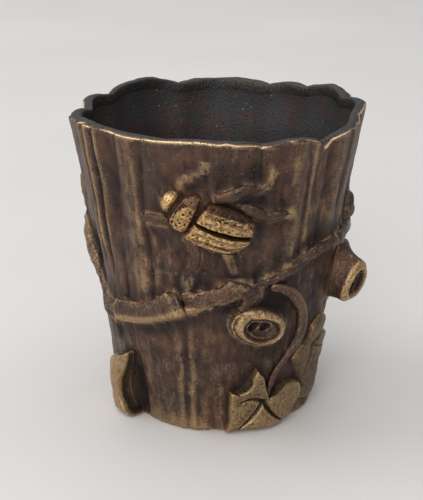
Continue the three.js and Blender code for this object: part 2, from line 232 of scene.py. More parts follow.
@dataclass(frozen=True)
class Bark:
    """The stump's surface: taper, lobes, flutes, dishes and rim."""

    height: float = 105.0
    foot_radius: float = 36.3
    rim_radius: float = 50.0
    waist: float = 0.23
    wall: float = 4.2
    lobe_rim: float = 1.9
    lobe_waist: float = 0.8
    lobe_foot: float = 1.2
    lobe_mean: float = 0.7
    scale: float = 1.0
    lobes: tuple[Lobe, ...] = (
        Lobe(-75, -1.4, 1.2),
        Lobe(-42, 0.2, 0.9),
        Lobe(16, -1.4, 0.0),
        Lobe(44, -4.6, -0.6),
        Lobe(76, 0.6, 3.2),
        Lobe(104, 0.6, 3.2),
        Lobe(134, 0.4, 1.4),
        Lobe(154, -0.5, 1.1),
        Lobe(198, -0.5, 2.8),
        Lobe(236, -1.0, 0.4),
        Lobe(257, -3.6, -1.2),
    )
    flutes: tuple[Flute, ...] = (
        Flute(-68, 2.6, 0.8),
        Flute(-61.0, 2.0, 1.9, 58, 130, 1.0),
        Flute(-57.2, 1.5, -0.9, 62, 130, 1.0),
        Flute(-54.2, 1.0, 0.9, 56, 130, 1.0),
        Flute(-51.8, 1.3, -0.5, 62, 130, 1.0),
        Flute(-46, 3.6, 1.3, 74),
        Flute(-45, 1.6, 0.5, 46, 70),
        Flute(-36, 4.2, -0.7, 44, 130, -1.5),
        Flute(-33, 1.2, -0.25, 50),
        Flute(-29.4, 1.5, 0.6, 48),
        Flute(-24, 1.8, 0.2, 50, 84),
        Flute(-19, 2.0, -0.3, -10, 42),
        Flute(-15.5, 1.3, 0.3, -10, 40),
        Flute(-12, 1.6, -0.3, -10, 42),
        Flute(-4, 2.2, 0.25, -10, 30),
        Flute(2.0, 1.8, -0.25, -10, 24),
        Flute(14.0, 2.2, 0.4, 88),
        Flute(20.0, 1.8, -0.2, 80),
        Flute(25.5, 2.4, 0.35, 60),
        Flute(31.0, 3.0, -0.45, 54),
        Flute(36.0, 1.4, 0.3, 62),
        Flute(39.0, 1.6, -0.3, 62),
        Flute(48.0, 2.6, 0.6, 62),
        Flute(54.0, 2.0, -0.35, 66),
        Flute(59.0, 1.6, 0.4, 62),
        Flute(67.0, 2.2, 0.6),
        Flute(98.0, 2.0, 0.6),
        Flute(112.0, 1.8, 0.5),
        Flute(121.0, 2.4, -0.5),
        Flute(143.0, 2.0, 0.5),
        Flute(163.0, 2.6, 0.9),
        Flute(171.0, 1.8, -0.5),
        Flute(182.0, 1.8, 0.5),
        Flute(190.0, 3.0, -0.5),
        Flute(206.0, 2.4, 0.8),
        Flute(216.0, 1.8, -0.4),
        Flute(226.0, 2.0, 0.6),
        Flute(246.0, 2.4, 0.7),
        Flute(265.0, 2.0, 0.8),
        Flute(274.0, 1.8, -0.4),
    )
    dishes: tuple[Dish, ...] = (
        Dish(25.0, 47.5, 9.0, 6.0, 1.1),
        Dish(-46.0, 11.0, 4.5, 13.0, 1.4),
        Dish(-38.5, 20.0, 2.6, 6.0, -0.4),
        Dish(-58.0, 32.5, 4.5, 4.5, 1.2),
        Dish(44.0, 100.0, 2.2, 12.0, -0.5),
        Dish(52.0, 45.0, 6.0, 9.0, 0.5),
        Dish(-75.0, 58.0, 5.5, 10.0, 1.5),
        Dish(-8.0, 82.0, 26.0, 17.0, -0.5),
        Dish(68.0, 57.0, 8.0, 7.0, -1.0),
    )

    def mean_radius(self, z: Array | float) -> Array:
        """Works out the radius without lobes at height z.

        Args:
            z: Heights.

        Returns:
            The radius without lobes at height z.
        """
        share = np.asarray(z, float) / self.height
        rise = share - self.waist * share * (1 - share)
        return self.foot_radius + (self.rim_radius - self.foot_radius) * rise

    def lobe_at(self, angle: Array) -> tuple[Array, Array]:
        """Works out the bulge (0 in a crease, 1 on a crest) and the rim height at each angle.

        Args:
            angle: Angles round the stump.

        Returns:
            The bulge (0 in a crease, 1 on a crest) and the rim height at each angle.
        """
        starts = np.array([lobe.start for lobe in self.lobes] + [self.lobes[0].start + 360.0])
        creases = np.array([lobe.crease for lobe in self.lobes] + [self.lobes[0].crease])
        crests = np.array([lobe.crest for lobe in self.lobes])
        at = (np.asarray(angle, float) - starts[0]) % 360.0 + starts[0]
        i = np.clip(np.searchsorted(starts, at, side="right") - 1, 0, len(self.lobes) - 1)
        along = (at - starts[i]) / (starts[i + 1] - starts[i])
        bulge = np.maximum(np.sin(np.pi * along), 0.0) ** 0.6
        floor = creases[i] + (creases[i + 1] - creases[i]) * along
        return bulge, self.height + floor + (crests[i] - floor) * bulge

    def radius(self, angle: Array, z: Array) -> Array:
        """Works out the radius of the lobed bark, whose creases soften away from the rim.

        Args:
            angle: Angles round the stump.
            z: Heights.

        Returns:
            The radius of the lobed bark, whose creases soften away from the rim.
        """
        share = clamp(np.asarray(z, float) / self.height)
        upper = smooth(share, 0.45, 1.0)
        lower = 1 - smooth(share, 0.0, 0.4)
        depth = self.lobe_waist + (self.lobe_rim - self.lobe_waist) * upper
        depth = depth + (self.lobe_foot - self.lobe_waist) * lower
        bulge = self.lobe_at(angle)[0]
        rounder = 0.15 + 0.85 * bulge**2.6
        bulge = rounder + (bulge - rounder) * smooth(share, 0.82, 1.0)
        return self.mean_radius(z) + depth * (bulge - self.lobe_mean)

    def rim(self, angle: Array) -> Array:
        """Returns the rim height at each angle."""
        return self.lobe_at(angle)[1]

    def relief(self, angle: Array, z: Array) -> Array:
        """Works out the flutes and the bark grain, in millimetres out from the lobed bark.

        Args:
            angle: Angles round the stump.
            z: Heights.

        Returns:
            The flutes and the bark grain, in millimetres out from the lobed bark.
        """
        angle, z = np.broadcast_arrays(np.asarray(angle, float), np.asarray(z, float))
        out = np.zeros(angle.shape)
        for mark in self.flutes + self.dishes:
            out = out - mark.depth * mark.profile(angle, z)
        u = angle / 360.0
        sway = 0.8 * noise(u * 40, z / 22.0, 3, 40)
        out = out + 0.18 * noise(u * 80 + sway, z / 30.0, 11, 80)
        out = out + 0.10 * noise(u * 190 + sway, z / 11.0, 12, 190)
        out = out + 0.09 * noise(u * 250, z / 1.9, 13, 250)
        out = out + 0.14 * noise(u * 110, z / 4.2, 15, 110)
        return out + 0.30 * noise(u * 24, z / 14.0, 14, 24)

    def per_degree(self, z: float) -> float:
        """Returns the millimetres along the bark in one degree at height z."""
        return float(np.radians(self.mean_radius(z)))

    def place(self, angle: Array, z: Array, out: Array | float) -> Array:
        """Works out the points, in metres, at those angles and heights and that far out.

        Args:
            angle: Angles round the stump.
            z: Heights.
            out: Distances out from the lobed bark, in millimetres.

        Returns:
            The points, in metres, at those angles and heights and that far out.
        """
        radius = self.radius(angle, z) + out
        a = np.radians(angle)
        points = np.stack([radius * np.sin(a), -radius * np.cos(a), np.broadcast_to(z, a.shape)], -1)
        return points * MILLIMETRE * self.scale


@dataclass(frozen=True)
class Seat:
    """Where a flat ornament's origin lies on the bark, and how it is turned."""

    angle: float
    z: float
    turn: float = 0.0

    def lay(self, bark: Bark, x: Array, y: Array) -> tuple[Array, Array]:
        """Returns the angle and height of flat positions x, y."""
        c, s = math.cos(math.radians(self.turn)), math.sin(math.radians(self.turn))
        return self.angle + (x * c - y * s) / bark.per_degree(self.z), self.z + x * s + y * c


# ---- Mesh tools ----


def deselect() -> None:
    """Leaves edit mode and selects nothing."""
    if bpy.context.object is not None and bpy.context.object.mode != "OBJECT":
        bpy.ops.object.mode_set(mode="OBJECT")
    bpy.ops.object.select_all(action="DESELECT")


def activate(piece: bpy.types.Object) -> None:
    """Makes the piece the active and only selected one.

    Args:
        piece: The piece.
    """
    deselect()
    piece.select_set(True)
    bpy.context.view_layer.objects.active = piece


def read_points(piece: bpy.types.Object) -> Array:
    """Reads the piece's vertices.

    Args:
        piece: The piece.

    Returns:
        One row per vertex.
    """
    points = np.empty(len(piece.data.vertices) * 3, np.float32)
    piece.data.vertices.foreach_get("co", points)
    return points.reshape(-1, 3).astype(float)


def write_points(piece: bpy.types.Object, points: Array) -> None:
    """Moves the piece's vertices to the rows of points."""
    piece.data.vertices.foreach_set("co", points.astype(np.float32).ravel())
    piece.data.update()


def write_mask(piece: bpy.types.Object, name: str, values: Array) -> None:
    """Stores one number per vertex under that name.

    Args:
        piece: The piece.
        name: The mask's name.
        values: The numbers, one per vertex.
    """
    layer = piece.data.attributes.get(name)
    layer = layer or piece.data.attributes.new(name, "FLOAT", "POINT")
    layer.data.foreach_set("value", clamp(values).astype(np.float32))


def read_mask(piece: bpy.types.Object, name: str) -> Array:
    """Reads a mask of the piece.

    Args:
        piece: The piece.
        name: The mask's name.

    Returns:
        One number per vertex.
    """
    values = np.empty(len(piece.data.vertices), np.float32)
    piece.data.attributes[name].data.foreach_get("value", values)
    return values


def read_edges(piece: bpy.types.Object) -> tuple[Array, Array]:
    """Reads the piece's edges.

    Args:
        piece: The piece.

    Returns:
        The first and the second vertex of each edge.
    """
    edges = np.empty(len(piece.data.edges) * 2, np.int32)
    piece.data.edges.foreach_get("vertices", edges)
    return edges[0::2], edges[1::2]


def neighbour_mean(piece: bpy.types.Object, values: Array, passes: int) -> Array:
    """Averages the values over neighbouring vertices.

    Args:
        piece: The piece.
        values: Numbers or rows, one per vertex.
        passes: How often they are averaged.

    Returns:
        The averaged values, in the same form.
    """
    first, second = read_edges(piece)
    ends, others = np.concatenate([first, second]), np.concatenate([second, first])
    count = np.maximum(np.bincount(ends, minlength=len(values)), 1)
    columns = values.reshape(len(values), -1).astype(float)
    for _ in range(passes):
        columns = np.stack(
            [np.bincount(ends, column[others], len(values)) / count for column in columns.T], -1
        )
    return columns.reshape(values.shape)


def convexity(piece: bpy.types.Object, passes: int) -> Array:
    """Works out how far each vertex stands out of its smoothed surroundings.

    Args:
        piece: The piece.
        passes: How widely its surroundings are smoothed.

    Returns:
        One distance per vertex, in millimetres.
    """
    points = read_points(piece)
    normals = np.empty(len(points) * 3, np.float32)
    piece.data.vertices.foreach_get("normal", normals)
    away = points - neighbour_mean(piece, points, passes)
    return (away * normals.reshape(-1, 3)).sum(1) / MILLIMETRE


def shade(piece: bpy.types.Object) -> None:
    """Shades the piece smoothly and turns its faces outwards.

    Args:
        piece: The piece.
    """
    activate(piece)
    bpy.ops.object.mode_set(mode="EDIT")
    bpy.ops.mesh.select_all(action="SELECT")
    bpy.ops.mesh.normals_make_consistent(inside=False)
    bpy.ops.object.mode_set(mode="OBJECT")
    bpy.ops.object.shade_smooth()
    deselect()


def select_edges(piece: bpy.types.Object, wanted: Array) -> None:
    """Selects just those edges of the active piece, given one flag each.

    Args:
        piece: The piece.
        wanted: One flag per edge.
    """
    bpy.ops.object.mode_set(mode="EDIT")
    bpy.ops.mesh.select_mode(type="EDGE")
    bpy.ops.mesh.select_all(action="DESELECT")
    bpy.ops.object.mode_set(mode="OBJECT")
    piece.data.edges.foreach_set("select", wanted.astype(bool))
    bpy.ops.object.mode_set(mode="EDIT")


def select_faces(piece: bpy.types.Object, wanted: Callable[[bpy.types.MeshPolygon], bool]) -> None:
    """Enters edit mode on the active piece with just the wanted faces selected.

    Args:
        piece: The piece.
        wanted: Tells whether a face is wanted.
    """
    bpy.ops.object.mode_set(mode="EDIT")
    bpy.ops.mesh.select_mode(type="FACE")
    bpy.ops.mesh.select_all(action="DESELECT")
    bpy.ops.object.mode_set(mode="OBJECT")
    for face in piece.data.polygons:
        face.select = wanted(face)
    bpy.ops.object.mode_set(mode="EDIT")


def upright_edges(piece: bpy.types.Object) -> Array:
    """Finds the edges that run along Z.

    Args:
        piece: The piece.

    Returns:
        One flag per edge, true where the edge runs along Z.
    """
    first, second = read_edges(piece)
    points = read_points(piece)
    span = np.abs(points[first] - points[second])
    return (span[:, 2] > SAME_PLACE) & (span[:, 0] + span[:, 1] < SAME_PLACE)


def sleeve(name: str, sides: int, rows: int, ends: str = "NGON") -> bpy.types.Object:
    """Makes an upright tube of unit radius and height, cut into rows.

    Args:
        name: The piece's name.
        sides: Facets round it.
        rows: Facets along it.
        ends: How the ends are filled, as the cylinder operator names it.

    Returns:
        The new piece.
    """
    deselect()
    bpy.ops.mesh.primitive_cylinder_add(vertices=sides, radius=1.0, depth=1.0, end_fill_type=ends)
    piece = bpy.context.object
    piece.name = name
    select_edges(piece, upright_edges(piece))
    bpy.ops.mesh.subdivide(number_cuts=rows - 1)
    bpy.ops.object.mode_set(mode="OBJECT")
    return piece


def dome(name: str, sides: int, rings: int) -> bpy.types.Object:
    """Makes the upper half of a unit ball with a flat, fanned underside.

    Args:
        name: The piece's name.
        sides: Facets round it.
        rings: Facets from its rim to its crown.

    Returns:
        The new piece.
    """
    deselect()
    bpy.ops.mesh.primitive_uv_sphere_add(segments=sides, ring_count=rings * 2, radius=1.0)
    piece = bpy.context.object
    piece.name = name
    bpy.ops.object.mode_set(mode="EDIT")
    bpy.ops.mesh.select_all(action="SELECT")
    bpy.ops.mesh.bisect(plane_co=(0, 0, -0.001), plane_no=(0, 0, 1), clear_inner=True, use_fill=True)
    bpy.ops.mesh.poke()
    bpy.ops.object.mode_set(mode="OBJECT")
    return piece


# ---- Finishes ----


Socket = bpy.types.NodeSocket


class Nodes:
    """Adds and wires nodes in one tree."""

    def __init__(self, tree: bpy.types.NodeTree) -> None:
        """Starts on that tree."""
        self.tree = tree

    def add(self, kind: str, **values: object) -> bpy.types.Node:
        """Adds a node and sets its properties and, where no property has the name, its sockets.

        Args:
            kind: The node's type.
            values: Properties and sockets by name.

        Returns:
            The node.
        """
        node = self.tree.nodes.new(kind)
        for key, value in values.items():
            if hasattr(node, key):
                setattr(node, key, value)
            else:
                self.feed(node.inputs[key.replace("_", " ")], value)
        return node

    def feed(self, socket: Socket, value: object) -> None:
        """Links a socket into this one, or sets its number or colour.

        Args:
            socket: The socket to feed.
            value: What it gets.
        """
        if isinstance(value, bpy.types.NodeSocket):
            self.tree.links.new(value, socket)
        else:
            socket.default_value = value

    def maths(self, operation: str, *values: object, hold: bool = False) -> Socket:
        """Adds a maths node on the values.

        Args:
            operation: The operation's name.
            values: Numbers or sockets.
            hold: Whether the result is held between 0 and 1.

        Returns:
            The result's socket.
        """
        node = self.tree.nodes.new("ShaderNodeMath")
        node.operation = operation
        node.use_clamp = hold
        for socket, value in zip(node.inputs, values):
            self.feed(socket, value)
        return node.outputs[0]

    def mix(self, factor: object, first: object, second: object) -> Socket:
        """Lays one colour over another.

        Args:
            factor: How much of the second colour shows.
            first: The colour below.
            second: The colour on top.

        Returns:
            The mixed colour's socket.
        """
        node = self.tree.nodes.new("ShaderNodeMix")
        node.data_type = "RGBA"
        self.feed(node.inputs["Factor"], factor)
        self.feed(node.inputs[6], first)
        self.feed(node.inputs[7], second)
        return node.outputs[2]

    def step(
        self, value: Socket, start: float, end: float, low: float = 0.0, high: float = 1.0
    ) -> Socket:
        """Eases a value from one number to another.

        Args:
            value: What is eased.
            start: Where the step begins.
            end: Where it ends.
            low: The value before it.
            high: The value after it.

        Returns:
            The eased value's socket.
        """
        node = self.tree.nodes.new("ShaderNodeMapRange")
        node.interpolation_type = "SMOOTHSTEP"
        for socket, number in zip(node.inputs[:5], (value, start, end, low, high)):
            self.feed(socket, number)
        return node.outputs[0]

    def texture(self, where: Socket, scale: float, detail: float, roughness: float = 0.55) -> Socket:
        """Adds fractal noise.

        Args:
            where: Where the pattern is read.
            scale: Cells per metre.
            detail: How many finer layers it has.
            roughness: How strong the finer layers are.

        Returns:
            The noise's socket.
        """
        node = self.tree.nodes.new("ShaderNodeTexNoise")
        self.feed(node.inputs["Vector"], where)
        self.feed(node.inputs["Scale"], scale)
        self.feed(node.inputs["Detail"], detail)
        self.feed(node.inputs["Roughness"], roughness)
        return node.outputs["Fac"]


def new_group(name: str, inputs: dict[str, float], outputs: Sequence[str]) -> bpy.types.NodeTree:
    """Makes an empty node group of numbers.

    Args:
        name: The group's name.
        inputs: The inputs and their defaults.
        outputs: The names of the outputs.

    Returns:
        The group.
    """
    group = bpy.data.node_groups.new(name, "ShaderNodeTree")
    for label, value in inputs.items():
        socket = group.interface.new_socket(label, in_out="INPUT", socket_type="NodeSocketFloat")
        socket.default_value = value
    for label in outputs:
        group.interface.new_socket(label, in_out="OUTPUT", socket_type="NodeSocketFloat")
    return group


class CastGrain:
    """The fine skin of the casting, shared by every finish: bark streaks, blotches, grains and pits."""

    NAME = "cast_grain"
    # Scales of its patterns, in cells per metre.
    STREAKS = 900.0
    BLOTCHES = 95.0
    GRAINS = 1500.0
    PITS = 1150.0
    PIT_PATCHES = 330.0
    SPECK_SCALE = 330.0
    SPECK_PATCH_SCALE = 60.0

    @classmethod
    def group(cls) -> bpy.types.NodeTree:
        """Makes the node group, once.

        Returns:
            The node group.
        """
        found = bpy.data.node_groups.get(cls.NAME)
        if found is not None:
            return found
        made = ("Streak", "Blotch", "Grains", "Pits", "Dust_and_glints", "Height")
        group = new_group(cls.NAME, {"Stretch": 0.12}, made)
        nodes = Nodes(group)
        given = nodes.add("NodeGroupInput")
        result = nodes.add("NodeGroupOutput")
        place = nodes.add("ShaderNodeTexCoord").outputs["Object"]
        squeeze = nodes.add("ShaderNodeCombineXYZ", X=1.0, Y=1.0)
        nodes.feed(squeeze.inputs["Z"], given.outputs["Stretch"])
        streaked = nodes.add("ShaderNodeVectorMath", operation="MULTIPLY")
        nodes.feed(streaked.inputs[0], place)
        nodes.feed(streaked.inputs[1], squeeze.outputs[0])
        streak = nodes.texture(streaked.outputs[0], cls.STREAKS, 4.0, 0.6)
        blotch = nodes.texture(place, cls.BLOTCHES, 4.0, 0.6)
        grains = nodes.texture(place, cls.GRAINS, 3.0, 0.7)
        cells = nodes.add("ShaderNodeTexVoronoi", feature="F1", Scale=cls.PITS)
        nodes.feed(cells.inputs["Vector"], place)
        sparse = nodes.texture(place, cls.PIT_PATCHES, 2.0, 0.5)
        pit = nodes.step(cells.outputs["Distance"], 0.16, 0.34, 1.0, 0.0)
        pits = nodes.maths("MULTIPLY", pit, nodes.step(sparse, 0.5, 0.64))
        # Sparse pale specks: dust, and on the bark and the vine painted glints.
        speck_cells = nodes.add("ShaderNodeTexVoronoi", feature="F1", Scale=cls.SPECK_SCALE)
        nodes.feed(speck_cells.inputs["Vector"], place)
        speck = nodes.step(speck_cells.outputs["Distance"], 0.05, 0.13, 1.0, 0.0)
        patches = nodes.step(nodes.texture(place, cls.SPECK_PATCH_SCALE, 2.0, 0.5), 0.42, 0.52)
        dust_and_glints = nodes.maths("MULTIPLY", speck, patches)
        height = nodes.maths("MULTIPLY", streak, 0.5)
        height = nodes.maths("ADD", height, nodes.maths("MULTIPLY", grains, 0.5))
        height = nodes.maths("SUBTRACT", height, nodes.maths("MULTIPLY", pits, 0.7))
        for label, value in zip(made, (streak, blotch, grains, pits, dust_and_glints, height)):
            nodes.feed(result.inputs[label], value)
        return group


Colour = tuple[float, float, float, float]

# Colour of the sparse pale specks: dust, and painted glints on the bark and the vine.
PALE_DUST_AND_GLINT: Colour = (0.62, 0.60, 0.57, 1)


@dataclass(frozen=True)
class PatinatedBronze:
    """Cast bronze under a dark patina that is rubbed through where hands touch it.

    Attributes:
        name: The material's name.
        deep: Colour of the painted shade in hollows, pits and creases.
        brown: Colour of the even patina.
        russet: Colour of its warmer blotches.
        gold: Colour where it is worn through, and of highlights painted as rubbed gold.
        rub: How easily the patina gives way; higher shows more gold.
        speckle: How strongly grains and pits break up the gold.
        stretch: Length of the streaks; 1 is round, small is long and upright.
        bump: Height of the fine skin, in metres.
        dull: Roughness of the patina.
        bright: Roughness of the rubbed metal.
        dust_and_glints: How strongly sparse pale specks show: dust, and painted glints on the bark and the
            vine.
    """

    name: str
    deep: Colour = (0.013, 0.010, 0.009, 1)
    brown: Colour = (0.066, 0.043, 0.036, 1)
    russet: Colour = (0.112, 0.060, 0.042, 1)
    gold: Colour = (0.470, 0.315, 0.170, 1)
    rub: float = 0.0
    speckle: float = 1.0
    stretch: float = 0.12
    bump: float = 0.00046
    dull: float = 0.44
    bright: float = 0.34
    dust_and_glints: float = 0.0

    def build(self) -> bpy.types.Material:
        """Makes the material, once.

        Returns:
            The material.
        """
        found = bpy.data.materials.get(self.name)
        if found is not None:
            return found
        material = bpy.data.materials.new(self.name)
        material.use_nodes = True
        material.node_tree.nodes.clear()
        nodes = Nodes(material.node_tree)
        grain = nodes.add("ShaderNodeGroup", node_tree=CastGrain.group())
        grain.inputs["Stretch"].default_value = self.stretch
        worn = nodes.add("ShaderNodeAttribute", attribute_name="worn").outputs["Fac"]
        hollow = nodes.add("ShaderNodeAttribute", attribute_name="hollow").outputs["Fac"]

        def centred(label: str, strength: float) -> Socket:
            """Returns that pattern of the grain, centred on zero, times strength."""
            return nodes.maths("MULTIPLY", nodes.maths("SUBTRACT", grain.outputs[label], 0.5), strength)

        uneven = centred("Streak", 0.8 * self.speckle)
        sandy = centred("Grains", 1.9 * self.speckle)
        pitted = nodes.maths("MULTIPLY", grain.outputs["Pits"], 0.4 * self.speckle)
        rubbed = nodes.maths("ADD", nodes.maths("ADD", worn, uneven), sandy)
        rubbed = nodes.maths("SUBTRACT", rubbed, pitted)
        # Painted shade: the hollow mask holds back the gold.
        rubbed = nodes.maths("SUBTRACT", rubbed, nodes.maths("MULTIPLY", hollow, 0.6))
        gold = nodes.step(rubbed, -0.05 - self.rub, 1.30 - self.rub)

        base = nodes.mix(nodes.step(grain.outputs["Blotch"], 0.40, 0.62), self.brown, self.russet)
        base = nodes.mix(gold, base, self.gold)
        # Painted shade: the hollow mask and the pits darken the colour towards deep.
        shadow = nodes.maths("MULTIPLY", grain.outputs["Pits"], 0.5)
        shadow = nodes.maths("ADD", hollow, shadow, hold=True)
        base = nodes.mix(nodes.maths("MULTIPLY", shadow, 0.93), base, self.deep)
        if self.dust_and_glints:
            base = nodes.mix(nodes.maths("MULTIPLY", grain.outputs["Dust_and_glints"], self.dust_and_glints), base, PALE_DUST_AND_GLINT)

        rough = nodes.maths("ADD", nodes.maths("MULTIPLY", gold, self.bright - self.dull), self.dull)
        rough = nodes.maths("ADD", rough, nodes.maths("MULTIPLY", sandy, 0.18), hold=True)
        rough = nodes.maths("ADD", rough, nodes.maths("MULTIPLY", hollow, 0.15), hold=True)
        bump = nodes.add("ShaderNodeBump", Strength=1.0, Distance=self.bump)
        nodes.feed(bump.inputs["Height"], grain.outputs["Height"])
        shader = nodes.add("ShaderNodeBsdfPrincipled")
        nodes.feed(shader.inputs["Base Color"], base)
        nodes.feed(shader.inputs["Metallic"], nodes.step(gold, 0.0, 0.8, 0.72, 1.0))
        nodes.feed(shader.inputs["Roughness"], rough)
        nodes.feed(shader.inputs["Normal"], bump.outputs["Normal"])
        output = nodes.add("ShaderNodeOutputMaterial")
        nodes.feed(output.inputs["Surface"], shader.outputs["BSDF"])
        return material


class Finish(Enum):
    """The finishes of the cup."""

    # Its pale specks are painted glints.
    BARK = PatinatedBronze("bark_patina", rub=-0.02, speckle=0.82, dust_and_glints=0.16)
    RIM = PatinatedBronze(
        "rim_patina", deep=(0.012, 0.012, 0.012, 1), brown=(0.040, 0.038, 0.037, 1),
        russet=(0.050, 0.042, 0.036, 1), rub=-0.10, dull=0.36, stretch=0.8,
    )
    # Its pale specks are painted glints.
    VINE = PatinatedBronze(
        "vine_patina", brown=(0.062, 0.042, 0.038, 1), rub=-0.06, speckle=1.25, stretch=0.6,
        bright=0.36, dust_and_glints=0.5,
    )
    LEAF = PatinatedBronze(
        "leaf_patina", brown=(0.076, 0.056, 0.038, 1), russet=(0.125, 0.076, 0.040, 1),
        gold=(0.50, 0.340, 0.175, 1), speckle=1.3, stretch=0.8, dull=0.42,
    )
    BEETLE = PatinatedBronze(
        "beetle_gold", deep=(0.028, 0.014, 0.010, 1), brown=(0.082, 0.046, 0.028, 1),
        russet=(0.130, 0.062, 0.030, 1), gold=(0.74, 0.475, 0.215, 1), rub=0.10, speckle=0.9,
        stretch=0.9, dull=0.38, bright=0.27,
    )
    KNOT = PatinatedBronze(
        "knot_patina", gold=(0.60, 0.410, 0.215, 1), rub=-0.08, speckle=1.7, stretch=0.8, dull=0.46,
        bright=0.36,
    )
    # Rubbed gold of the rim's lip, made brighter to paint its highlight: wear and a painted highlight.
    EDGE = PatinatedBronze(
        "rubbed_edge_and_highlight", gold=(0.88, 0.68, 0.42, 1), rub=0.10, speckle=1.3, stretch=0.8, bright=0.30,
    )
    LEG = PatinatedBronze(
        "leg_patina", gold=(0.38, 0.262, 0.150, 1), rub=-0.18, speckle=1.5, stretch=0.9,
    )
    INSIDE = PatinatedBronze(
        "inside_dark", deep=(0.035, 0.036, 0.039, 1), brown=(0.060, 0.060, 0.064, 1),
        russet=(0.084, 0.060, 0.056, 1), gold=(0.30, 0.28, 0.26, 1), rub=-0.45, dull=0.56,
        stretch=1.0, dust_and_glints=0.35,
    )


# ---- Laying pieces on the bark ----


@dataclass
class Trail:
    """Remembers where ornaments meet the bark, so that the bark can rise beside them and take painted shade
    there.
    """

    points: list[Array] = field(default_factory=list)
    fillets: list[Array] = field(default_factory=list)

    def add(self, points: Array, fillet: float) -> None:
        """Adds points of an ornament that lie on the bark, with the size of its fillet."""
        self.points.append(points)
        self.fillets.append(np.full(len(points), fillet))

    def measure(self, points: Array, reach: float) -> tuple[Array, Array]:
        """Finds the nearest ornament to each point.

        Args:
            points: The points, in metres.
            reach: The greatest distance told apart, in millimetres.

        Returns:
            The distance in millimetres and the fillet of the nearest ornament.
        """
        marks = np.concatenate(self.points)
        sizes = np.concatenate(self.fillets)
        tree = kdtree.KDTree(len(marks))
        for i, mark in enumerate(marks):
            tree.insert(mark, i)
        tree.balance()
        found = [tree.find(point) for point in points]
        distance = np.array([hit[2] for hit in found]) / MILLIMETRE
        return np.minimum(distance, reach), sizes[[hit[1] for hit in found]]


@dataclass(frozen=True)
class Relief:
    """A piece that stands out of the bark, with what is known of each of its vertices.

    Attributes:
        piece: The piece.
        out: Height above the bark, in millimetres.
        along: Flat x on a pad, or 0 to 1 along a stem.
        across: Flat y on a pad, or -1 (lower side) to 1 (upper side) on a stem.
        share: 0 at the heart and 1 at the edge of a pad.
    """

    piece: bpy.types.Object
    out: Array
    along: Array
    across: Array
    share: Array


Top = Callable[[Array, Array, Array], Array]
Swell = tuple[float, float, float]


